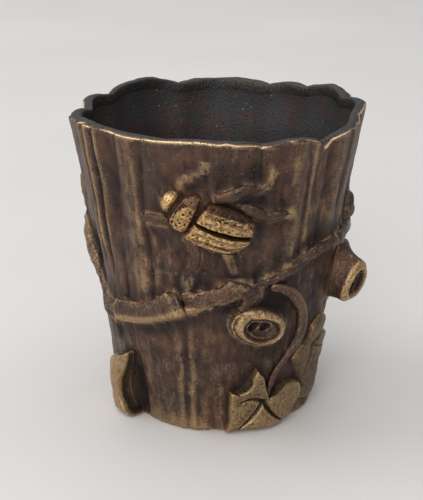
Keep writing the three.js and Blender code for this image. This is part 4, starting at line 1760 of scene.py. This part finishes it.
@dataclass
class Vine:
    """The vine that runs round the stump, and its shoot."""

    maker: Maker
    runs: tuple[Run, ...] = (
        Run(
            "vine_left",
            ((-50.6, 40.2, 1.3, 2.9), (-61, 40.6, 0.2, 3.0), (-70, 43.6, -0.9, 3.0), (-78, 48.6, -0.9, 3.3),
             (-83, 54.2, -0.2, 3.6), (-86.6, 60.0, 0.0, 3.5), (-90.0, 67.0, -0.2, 3.1)),
            ((0.62, 0.12, 0.05),), gnarl=0.5, gold=(0.1, 0.6), skirt=0.3,
        ),
        Run(
            "vine_front_left",
            ((-51.6, 40.2, 1.3, 2.9), (-42, 41.6, 1.3, 2.8), (-32, 43.4, 1.3, 2.6), (-24, 45.8, 1.5, 2.8),
             (-18.4, 48.0, 1.7, 3.3), (-14.0, 49.6, 1.4, 2.7)),
            ((0.68, -0.14, 0.03), (0.87, 0.12, 0.10)), gold=(0.95, 0.95), skirt=0.9,
        ),
        Run(
            "vine_front",
            ((-13.6, 49.0, 1.1, 2.3), (-8, 50.2, 0.8, 1.9), (-1, 52.0, 0.5, 1.8), (6, 53.4, 0.4, 1.9),
             (11.4, 54.2, 0.6, 1.9), (14.4, 52.8, 0.9, 1.7), (12.8, 50.2, 1.2, 1.5), (10.2, 48.0, 1.5, 1.3)),
            ((0.13, 0.22, 0.09), (0.26, -0.10, 0.03)), gnarl=0.7, gold=(1.0, -0.6), skirt=1.2, ease=0.4,
        ),
        Run(
            "vine_front_right",
            ((13.6, 55.2, 0.3, 1.2), (19, 56.9, 0.5, 1.3), (25, 58.6, 0.7, 1.4), (34, 61.2, 0.9, 1.5),
             (44, 64.0, 1.1, 1.9), (51, 65.0, 1.0, 1.8), (59.4, 65.2, 0.9, 2.0)),
            ((0.66, 0.18, 0.03),), gnarl=0.55, gold=(0.0, 0.1), skirt=0.1, height=1.0, ease=1.2,
        ),
        Run(
            "vine_right",
            ((58.4, 65.0, 1.1, 2.2), (72, 64.6, 1.0, 2.4), (90, 63.4, 1.0, 2.6), (108, 64.8, 1.1, 2.7),
             (125.4, 67.5, 1.2, 2.8)),
            ((0.5, 0.15, 0.04),), gnarl=0.4, gold=(0.2, 0.4),
        ),
        Run(
            "vine_back",
            ((124.6, 67.4, 1.2, 2.8), (144, 70.4, 1.3, 2.9), (162, 71.6, 1.3, 3.0), (180, 71.0, 1.3, 3.0),
             (200.4, 70.4, 1.3, 2.9)),
            ((0.3, 0.2, 0.03), (0.75, 0.2, 0.03)),
        ),
        Run(
            "vine_back_left",
            ((199.6, 70.4, 1.3, 2.9), (220, 71.4, 1.3, 2.9), (240, 73.4, 1.2, 2.8), (254, 73.8, 1.0, 2.7),
             (265.0, 72.6, 0.6, 2.6)),
            ((0.5, 0.2, 0.03),),
        ),
    )
    shoot: tuple[Station, ...] = (
        (23.4, 55.4, 0.6, 1.5), (29.8, 54.0, 0.8, 1.7), (36.4, 50.2, 0.9, 2.0), (41.6, 44.6, 1.0, 2.1),
        (44.4, 37.4, 1.0, 2.1), (42.4, 31.4, 0.9, 1.9), (36.0, 27.0, 0.8, 1.4), (30.4, 22.6, 0.8, 1.1),
        (27.0, 16.8, 1.2, 1.0), (25.2, 13.2, 1.6, 0.9),
    )

    def build_run(self, run: Run, seed: int) -> None:
        """Builds one run; seed picks its grain.

        Args:
            run: The run.
            seed: Which grain.
        """
        strand = self.maker.stem(
            run.node + "_cast", run.stations, sides=28, per_mm=1.9, gnarl=run.gnarl, swell=run.swell,
            seed=seed, height=run.height, skirt=run.skirt, fillet=1.0, ease=run.ease,
        )
        gold = run.gold[0] + (run.gold[1] - run.gold[0]) * strand.along
        lower = clamp(gold) * (1 - smooth(strand.across, -0.10, 0.40)) * smooth(strand.across, -1.0, -0.86)
        broken = smooth(noise(strand.along * 60, strand.across * 3, seed), -0.3, 0.5)
        # Painted highlight: a broken gold line along the upper side, where it is not already gold.
        ridge = 0.60 * bell(strand.across - 0.60, 0.22) * broken
        rubbed = lower + ridge * (1 - clamp(gold))
        self.maker.weather(strand, gain=0.30, proud=0.0, base=-0.08, full=3.6, extra=rubbed)
        self.maker.hand_in(strand.piece, Finish.VINE, run.node, "ornament")

    def dress(self) -> None:
        """Builds every run and the shoot."""
        for i, run in enumerate(self.runs):
            self.build_run(run, 100 + 2 * i)
        shoot = self.maker.stem(
            "shoot_front_cast", self.shoot, sides=24, per_mm=1.8, gnarl=0.22, swell=(), seed=130, height=0.75,
            skirt=0.0, fillet=0.35, ease=1.2,
        )
        outer = 0.30 * smooth(shoot.across, 0.1, 0.8)
        self.maker.weather(shoot, gain=0.4, proud=0.06, base=0.0, full=2.4, extra=outer)
        self.maker.hand_in(shoot.piece, Finish.VINE, "tendril_front", "ornament")


# ---- Leaves and buds ----


@dataclass(frozen=True)
class LeafShape:
    """A lobed leaf. Its stations are an angle and a height on the bark.

    Attributes:
        node: The CAD node it stands for.
        heart: Where its leaflets meet.
        edge: Its outline.
        veins: The outer ends of the valleys between its leaflets.
        rise: Its height above the bark.
        gold: How strongly its height is rubbed.
        hollows: Round hollows: where, and their radius in millimetres.
        steep: How close to the edge its sides drop.
    """

    node: str
    heart: Point
    edge: tuple[Point, ...]
    veins: tuple[Point, ...]
    rise: float
    gold: float = 0.35
    hollows: tuple[tuple[float, float, float], ...] = ()
    steep: float = 18.0


@dataclass
class Leaves:
    """The lobed leaves, the folded leaf at the foot and the buds."""

    maker: Maker
    shapes: tuple[LeafShape, ...] = (
        LeafShape(
            "leaf_front", (23.6, 11.6),
            ((42, 16.6), (36, 16.9), (31.0, 15.2), (26.6, 12.4), (23.8, 17.4), (22.2, 22.6), (19.2, 24.8),
             (16.8, 21.8), (13, 17.4), (9.4, 16.2), (6.0, 16.8), (5.6, 11), (5.6, 5), (4.0, 0.6), (12, 0.4),
             (24, 0.4), (35, 0.7), (40.6, 2.4), (44.4, 5.4), (48.2, 8.6), (49.2, 11.8), (47, 14.8)),
            ((12, 12.6), (10, 1), (36, 1.6)), rise=3.4, gold=0.50, hollows=((11.0, 20.4, 4.6),),
        ),
        LeafShape(
            "leaf_right", (54, 27.6),
            ((76, 26.8), (66, 30), (68, 35.4), (60, 37.6), (52.6, 35), (50.4, 30.6), (44.6, 28.8),
             (40.6, 24.6), (43.2, 19.6), (47.0, 15.6), (49.2, 12), (50.0, 6.2), (56, 4.6), (62, 4.6),
             (65, 10.6), (64.4, 17.6), (74, 20.4)),
            ((67, 33.2), (50, 18), (71, 23)), rise=2.3, gold=0.06, steep=9.0,
        ),
        LeafShape(
            "leaf_left", (-100, 73.0),
            ((-86.5, 70.4), (-88.6, 74.6), (-85.8, 78.4), (-90, 82.0), (-97, 80), (-104, 84), (-109, 78.4),
             (-116, 75), (-112, 70), (-99, 69.6)),
            ((-88.6, 74.6), (-98, 80), (-109, 78)), rise=1.3, gold=0.1,
        ),
        LeafShape(
            "leaf_back", (193, 47),
            ((200, 55), (195, 61), (191, 66.2), (186, 61), (182, 53), (174, 49), (180, 42), (177, 33),
             (187, 34), (193, 27), (199, 33), (208, 33), (206, 41), (213, 45), (208, 52)),
            ((204, 41), (199, 33), (187, 34), (181, 42)), rise=3.2,
        ),
    )

    def flat(self, station: Point, heart: Point) -> Point:
        """Returns a station on the bark as flat millimetres from the heart."""
        return (station[0] - heart[0]) * self.maker.bark.per_degree(heart[1]), station[1] - heart[1]

    def build_leaf(self, shape: LeafShape) -> None:
        """Builds one lobed leaf with flat facets between crisp valleys.

        Args:
            shape: The leaf's shape.
        """
        valleys = [self.flat(vein, shape.heart) for vein in shape.veins]
        hollows = [(self.flat(spot[:2], shape.heart), spot[2]) for spot in shape.hollows]

        def away_from(x: Array, y: Array) -> Array:
            """Works out the distance to the nearest valley line.

            Args:
                x: Flat x, in mm.
                y: Flat y, in mm.

            Returns:
                The distance to the nearest valley line.
            """
            away = np.full(x.shape, 99.0)
            for i, (vx, vy) in enumerate(valleys):
                along = clamp((x * vx + y * vy) / (vx * vx + vy * vy))
                bow = (0.9 if i % 2 else -0.9) * np.sin(np.pi * along)
                size = math.hypot(vx, vy)
                nx, ny = along * vx - bow * vy / size, along * vy + bow * vx / size
                away = np.minimum(away, np.hypot(x - nx, y - ny) + 0.9 * along)
            return away

        def top(share: Array, x: Array, y: Array) -> Array:
            """Works out the leaf's height.

            Args:
                share: 0 at the heart and 1 at the edge.
                x: Flat x, in mm.
                y: Flat y, in mm.

            Returns:
                The leaf's height.
            """
            away = away_from(x, y)
            ridge = smooth(away, 0.1, 1.5) * 0.75 + 0.25 * smooth(away, 1.0, 4.5)
            puckers = 0.08 * noise(x / 2.2 + 60, y / 2.2 + 60, 81)
            puckers = puckers + 0.04 * noise(x * 1.2 + 60, y * 1.2 + 60, 82)
            lift = 0.74 + 0.26 * smooth(share, 0.2, 0.85)
            height = 1.2 + (shape.rise - 1.2) * ridge * lift + puckers
            for (hx, hy), size in hollows:
                height = height - 1.5 * (1 - smooth(np.hypot(x - hx, y - hy), 0.75 * size, size))
            return -0.6 + (height + 0.6) * (1 - share**shape.steep) ** 0.5

        edge = [self.flat(station, shape.heart) for station in shape.edge]
        seat = Seat(shape.heart[0], shape.heart[1])
        leaf = self.maker.pad(
            shape.node + "_cast", edge, (0.0, 0.0), seat, top, sides=220, rings=44, fillet=0.25, firm=0.8
        )
        # Painted shade: darker along the valleys and in the round hollows, which also lose gold.
        dark = 0.55 * (1 - smooth(away_from(leaf.along, leaf.across), 0.1, 1.0)) * (leaf.share < 0.97)
        dull = 0.0
        for (hx, hy), size in hollows:
            inside = 1 - smooth(np.hypot(leaf.along - hx, leaf.across - hy), 0.7 * size, size)
            dull, dark = dull - 0.8 * inside, dark + 0.25 * inside
        self.maker.weather(leaf, gain=1.0, proud=shape.gold, base=0.05, full=3.0, extra=dull, dark=dark)
        self.maker.hand_in(leaf.piece, Finish.LEAF, shape.node, "ornament")

    def build_folded(self) -> None:
        """Builds the folded leaf at the left of the foot, a blade that drops steeply on its right."""
        heart = (-61.0, 9.2)
        edge = (
            (-53.6, 10), (-52.4, 14.5), (-49.6, 20), (-47.6, 26.0), (-53, 24.0), (-61, 21.8), (-71, 18.0),
            (-80, 13.4), (-85, 8.6), (-85, 4.2), (-78, 0.5), (-66, 0.4), (-56, 0.4), (-47.4, 0.5),
            (-50.2, 3.0), (-52.8, 6.4),
        )

        def top(share: Array, x: Array, y: Array) -> Array:
            """Works out the folded leaf's height.

            Args:
                share: 0 at the heart and 1 at the edge.
                x: Flat x, in mm.
                y: Flat y, in mm.

            Returns:
                The folded leaf's height.
            """
            climb = clamp(1.0 + (x - 1.5) / 19.0) ** 1.2
            spacing = 4.4
            ribs = 0.55 * bell((y - 0.42 * x + 60.0) % spacing - spacing / 2, 0.5)
            ribs = ribs * (1 - smooth(x, -5.0, -2.0)) * (1 - smooth(share, 0.7, 0.9))
            veins = 0.10 * np.sin(y * 1.1 + x * 0.35) + 0.12 * noise(x / 1.8 + 60, y / 3.0 + 60, 84) - ribs
            belly = 1.0 - 0.35 * smooth(np.abs(y + 2.0), 5.0, 16.0)
            return -0.6 + (6.2 * (0.22 + 0.78 * climb) * belly + veins) * np.sqrt(clamp(1 - share**22))

        flat = [self.flat(station, heart) for station in edge]
        leaf = self.maker.pad(
            "leaf_folded_cast", flat, (0.0, 0.0), Seat(*heart), top, sides=144, rings=56, fillet=0.2, firm=0.3
        )
        # Painted shadow: the steep right side of the blade is darkened and loses its gold.
        wall = smooth(leaf.share, 0.955, 0.985) * smooth(leaf.along, -1.0, 2.0)
        crest = 0.75 * bell(leaf.share - 0.93, 0.04) * smooth(leaf.along, -1.0, 2.0)
        self.maker.weather(
            leaf, gain=0.8, proud=0.62, base=0.30, full=3.6, extra=crest - 1.2 * wall, dark=0.80 * wall
        )
        self.maker.hand_in(leaf.piece, Finish.LEAF, "leaf_folded", "ornament")

    def build_bud(self, node: str, seat: Seat, long: float, wide: float, rise: float) -> None:
        """Builds one rounded bud with a cleft along it.

        Args:
            node: The CAD node it stands for.
            seat: Where it lies.
            long: Half-length, in millimetres.
            wide: Half-width, in millimetres.
            rise: Height above the bark.
        """

        def top(share: Array, x: Array, y: Array) -> Array:
            """Returns the bud's height."""
            cleft = 0.6 * bell(x - 0.25 * wide, 0.45) * (1 - share**2)
            round_top = -0.5 + (rise + 0.5) * np.sqrt(clamp(1 - share**2.6))
            return round_top - cleft + 0.1 * noise(x + 40, y + 40, 86)

        bud = self.maker.pad(
            node + "_cast", oval(wide, long, 12), (0.0, 0.0), seat, top,
            sides=64, rings=20, fillet=0.7, firm=0.0,
        )
        self.maker.weather(bud, gain=0.9, proud=0.15, base=0.05, full=3.4)
        self.maker.hand_in(bud.piece, Finish.LEG, node, "ornament")

    def dress(self) -> None:
        """Builds all the leaves and buds."""
        for shape in self.shapes:
            self.build_leaf(shape)
        self.build_folded()
        self.build_bud("bud_upper", Seat(78.5, 73.0, -12), long=5.6, wide=3.0, rise=3.4)
        self.build_bud("bud_lower", Seat(86, 69.6, 14), long=3.8, wide=3.0, rise=3.6)


# ---- Knots ----


@dataclass
class Knots:
    """The cut branch knots.

    Attributes:
        maker: Builds on the stump.
        long: Half-length of the front knot.
        wide: Its half-width.
        bowl: Middle, half-length and half-width of its bowl.
        eyes: Middle, half-length, half-width and turn of each of its eyes.
        sunk: How far inside the bark a stub's section starts.
    """

    maker: Maker
    long: float = 9.9
    wide: float = 7.0
    bowl: tuple[Point, float, float] = ((0.6, -0.1), 7.0, 4.7)
    eyes: tuple[tuple[Point, float, float, float], ...] = (
        ((-2.2, 0.0), 2.1, 1.6, 70),
        ((1.7, 0.8), 1.9, 1.5, 50),
    )
    sunk: float = 9.0

    @staticmethod
    def eye(x: Array, y: Array, centre: Point, long: float, wide: float, turn: float) -> Array:
        """Works out an oval hole's depth, 1 in the middle and 0 outside.

        Args:
            x: Flat x, in mm.
            y: Flat y, in mm.
            centre: Its middle.
            long: Half-length, in millimetres.
            wide: Half-width, in millimetres.
            turn: Its turn, in degrees.

        Returns:
            An oval hole's depth, 1 in the middle and 0 outside.
        """
        c, s = math.cos(math.radians(turn)), math.sin(math.radians(turn))
        u = ((x - centre[0]) * c + (y - centre[1]) * s) / long
        v = ((y - centre[1]) * c - (x - centre[0]) * s) / wide
        return 1 - smooth(np.hypot(u, v), 0.55, 1.05)

    def build_front(self) -> None:
        """Builds the oval front knot: a flat worn band round a bowl with two eyes."""
        middle, bowl_long, bowl_wide = self.bowl

        def coiled(x: Array, y: Array) -> tuple[Array, Array]:
            """Returns the place in the bowl, 1 at its edge, and the turn round its middle."""
            u, v = (x - middle[0]) / bowl_long, (y - middle[1]) / bowl_wide
            return np.hypot(u, v), np.arctan2(v, u)

        def top(share: Array, x: Array, y: Array) -> Array:
            """Works out the knot's height.

            Args:
                share: 0 at the heart and 1 at the edge.
                x: Flat x, in mm.
                y: Flat y, in mm.

            Returns:
                The knot's height.
            """
            wall = np.sqrt(clamp(1 - share**8))
            coil, turn = coiled(x, y)
            coil = coil * (1 + 0.10 * np.cos(turn - 2.4))
            bowl = 1 - smooth(coil, 0.78, 1.0)
            inner = 1 - smooth(coil, 0.40, 0.62)
            swirl = 0.5 * bell(coil - 0.62, 0.13) * smooth(np.cos(turn + 0.9), -0.6, 0.6)
            eyes = sum(self.eye(x, y, *eye) for eye in self.eyes)
            groove = 0.8 * bell(share - 0.84, 0.05) * smooth(-x * 0.7 - y, 0.5, 4.0)
            band = 4.6 + 0.22 * noise(x / 1.3 + 50, y / 1.3 + 50, 87)
            gap = 1.0 * bell(turn - 2.5, 0.22) * smooth(coil, 0.7, 1.0) * (share < 0.97)
            return -0.6 + (band + 0.6) * wall - 1.5 * bowl - 0.5 * inner + swirl - 1.3 * eyes - groove - gap

        knot = self.maker.pad(
            "knot_front_cast", oval(self.long, self.wide, 20), (0.0, 0.0), Seat(18.4, 41.4, -22), top,
            sides=160, rings=52, fillet=0.9, firm=0.0,
        )
        x, y = knot.along, knot.across
        bowl = 1 - smooth(coiled(x, y)[0], 0.74, 0.94)
        flank = smooth(knot.share, 0.9, 0.99)
        eyes = clamp(sum(self.eye(x, y, *eye) for eye in self.eyes))
        upper = 0.25 * smooth(y - 0.4 * x, -3.0, 4.0)
        # Painted shade: darker in the bowl and in the two eyes.
        self.maker.weather(
            knot, gain=0.9, proud=0.60, base=0.0, full=4.0, extra=upper - 0.6 * bowl - 0.4 * flank,
            dark=0.10 * bowl + 0.45 * eyes,
        )
        self.maker.hand_in(knot.piece, Finish.KNOT, "knot_front", "ornament")

    def build_stub(
        self, node: str, seat: Seat, lean: float, droop: float, wide: float, tall: float, stand: float
    ) -> None:
        """Builds a branch stub with a cut, pitted end.

        Args:
            node: The CAD node it stands for.
            seat: Where it grows from.
            lean: Turn to the side from straight out, in degrees.
            droop: Turn downwards, in degrees.
            wide: Half-width at the root before it flares.
            tall: Half-height there.
            stand: How far it stands out.
        """
        piece = sleeve(node + "_cast", sides=96, rows=56)
        select_faces(piece, lambda face: len(face.vertices) > 4 and face.normal.z > 0.5)
        for _ in range(14):
            bpy.ops.mesh.inset(thickness=0.062)
        bpy.ops.object.mode_set(mode="OBJECT")
        tube = read_points(piece)
        around = np.arctan2(tube[:, 1], tube[:, 0])
        share = np.minimum(np.hypot(tube[:, 0], tube[:, 1]), 1.0)
        t = tube[:, 2] + 0.5
        at_end = (t > 0.999) & (share < 0.999)
        height = -self.sunk + (stand + self.sunk) * t
        flare = 0.93 + 0.50 * np.exp(-np.maximum(height - 0.3, 0.0) / (0.34 * stand))
        flare = flare + 0.03 * smooth(t, 0.78, 0.90)
        lap = around / (2 * np.pi)
        lump = 1 + 0.035 * np.sin(3 * around + 1) + 0.03 * noise(lap * 8, height / 3.0, 91, 8)
        lump = lump + 0.02 * noise(lap * 22, height / 2.0, 92, 22)
        soften = np.sqrt(clamp(1 - 0.30 * smooth(t, 0.915, 1.0) ** 2))
        r = share * flare * lump * soften
        x, y = r * wide * np.cos(around), r * tall * np.sin(around)
        dish = np.where(at_end, 1 - smooth(share, 0.62, 0.88), 0.0)
        eyes = self.eye(x, y, (-0.32 * wide, 0.1), 0.30 * wide, 0.28 * tall, 30)
        eyes = eyes + self.eye(x, y, (0.34 * wide, -0.1 * tall), 0.30 * wide, 0.26 * tall, -20)
        cut = 0.35 * bell(share - 0.92, 0.08) - 1.3 * dish - 2.4 * clamp(eyes) * (share < 0.7)
        height = height + at_end * cut
        turn = math.radians(seat.turn)
        u, v = x * math.cos(turn) - y * math.sin(turn), x * math.sin(turn) + y * math.cos(turn)
        d, side_turn = math.radians(droop), math.radians(lean)
        v, h = v * math.cos(d) - height * math.sin(d), v * math.sin(d) + height * math.cos(d)
        c, s = math.cos(side_turn), math.sin(side_turn)
        u, h = u * c + h * s, -u * s + h * c
        back = -(float(self.maker.bark.mean_radius(seat.z)) + h)
        c, s = math.cos(math.radians(seat.angle)), math.sin(math.radians(seat.angle))
        points = np.stack([u * c - back * s, u * s + back * c, v + seat.z], -1)
        angle = np.degrees(np.arctan2(points[:, 0], -points[:, 1]))
        surface, reach = self.maker.bark.radius(angle, points[:, 2]), np.hypot(points[:, 0], points[:, 1])
        out = np.maximum(reach - surface, -self.maker.root)
        points[:, :2] *= ((surface + out) / reach)[:, None]
        write_points(piece, points * MILLIMETRE * self.maker.bark.scale)
        shade(piece)
        seated = np.abs(out) < 0.8
        self.maker.trail.add(points[seated] * MILLIMETRE * self.maker.bark.scale, 1.0)
        end_lip = bell(np.minimum(share - 0.90, 0.0), 0.10)
        lip = np.where(at_end, end_lip, bell(np.minimum(t - 0.965, 0.0), 0.05))
        # Painted shade: darker in the dished middle of the cut end and in its eyes.
        dark = np.where(at_end, 0.45 * (1 - smooth(share, 0.6, 0.84)) + 0.5 * clamp(eyes), 0.0)
        stub = Relief(piece, out, x, y, share)
        self.maker.weather(stub, gain=0.9, proud=0.06, base=-0.16, full=stand, extra=1.1 * lip, dark=dark)
        self.maker.hand_in(piece, Finish.KNOT, node, "ornament")

    def dress(self) -> None:
        """Builds the three knots."""
        self.build_front()
        right, back = Seat(75, 50.2, 82), Seat(146, 42, 20)
        self.build_stub("knot_right", right, lean=-25, droop=15, wide=8.0, tall=6.5, stand=10.6)
        self.build_stub("knot_back", back, lean=0, droop=4, wide=7.0, tall=6.0, stand=6.0)


# ---- Studio ----


@dataclass
class Studio:
    """A pale floor, soft light and the camera.

    Attributes:
        camera_at: Where the camera stands, in metres.
        pitch: How far it looks down, in degrees.
        lens: Its focal length, in millimetres.
        floor_shades: The two close shades of the floor.
    """

    camera_at: Triple = (-0.00185, -0.340, 0.1808)
    pitch: float = 20.58
    lens: float = 72.65
    floor_shades: tuple[Colour, Colour] = ((0.675, 0.660, 0.640, 1), (0.715, 0.700, 0.680, 1))

    def add_camera(self) -> None:
        """Adds the camera."""
        data = bpy.data.cameras.new("camera")
        data.lens = self.lens
        data.sensor_width = 36.0
        data.sensor_fit = "AUTO"
        data.clip_start = 0.01
        camera = bpy.data.objects.new("camera", data)
        camera.location = self.camera_at
        camera.rotation_euler = (math.radians(90.0 - self.pitch), 0.0, 0.0)
        bpy.context.scene.collection.objects.link(camera)
        bpy.context.scene.camera = camera

    def add_floor(self) -> None:
        """Adds the pale floor."""
        deselect()
        bpy.ops.mesh.primitive_plane_add(size=8.0, location=(0, 0, -0.00005))
        floor = bpy.context.object
        floor.name = "floor"
        material = bpy.data.materials.new("pale_floor")
        material.use_nodes = True
        nodes = Nodes(material.node_tree)
        shader = material.node_tree.nodes["Principled BSDF"]
        place = nodes.add("ShaderNodeTexCoord").outputs["Object"]
        cloudy = nodes.step(nodes.texture(place, 3.0, 2.0), 0.3, 0.7)
        nodes.feed(shader.inputs["Base Color"], nodes.mix(cloudy, *self.floor_shades))
        shader.inputs["Roughness"].default_value = 0.6
        floor.data.materials.append(material)

    def add_light(
        self, name: str, at: Triple, size: float, power: float, colour: Triple
    ) -> None:
        """Adds a soft square light that faces the cup.

        Args:
            name: Its name.
            at: Where it stands, in metres.
            size: Its side, in metres.
            power: Its power, in watts.
            colour: Its colour.
        """
        data = bpy.data.lights.new(name, "AREA")
        data.shape = "SQUARE"
        data.size = size
        data.energy = power
        data.color = colour
        light = bpy.data.objects.new(name, data)
        light.location = at
        aim = Vector((0, 0, 0.05)) - Vector(at)
        light.rotation_euler = aim.to_track_quat("-Z", "Y").to_euler()
        bpy.context.scene.collection.objects.link(light)

    def add_world(self) -> None:
        """Adds the even light of the room."""
        world = bpy.data.worlds.new("room")
        world.use_nodes = True
        background = world.node_tree.nodes["Background"]
        background.inputs["Color"].default_value = (0.94, 0.95, 1.0, 1)
        background.inputs["Strength"].default_value = 0.27
        bpy.context.scene.world = world

    def dress(self) -> None:
        """Sets up the whole studio."""
        self.add_camera()
        self.add_floor()
        self.add_light("window_left", (-1.9, 0.3, 1.5), size=1.3, power=13.0, colour=(0.97, 0.98, 1.0))
        self.add_light("ceiling", (-0.4, 0.4, 3.0), size=6.0, power=120.0, colour=(1.0, 0.99, 0.975))
        self.add_light("front_fill", (-0.5, -1.9, 1.0), size=1.2, power=20.0, colour=(1.0, 0.98, 0.96))
        self.add_world()
        view = bpy.context.scene.view_settings
        view.view_transform = "Standard"
        view.look = "None"


# ---- Main ----


def main() -> None:
    """Builds the cup and the studio, and reports each piece."""
    logging.basicConfig(level=logging.INFO, format="%(name)s %(message)s")
    deselect()
    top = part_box("trunk_wall")[1][2]
    bark = Bark(scale=float(top) / (CAD_TOP * MILLIMETRE))
    maker = Maker(bark)
    Studio().dress()
    Beetle(maker).dress()
    Vine(maker).dress()
    Leaves(maker).dress()
    Knots(maker).dress()
    Stump(maker).dress()


if __name__ == "__main__":
    main()
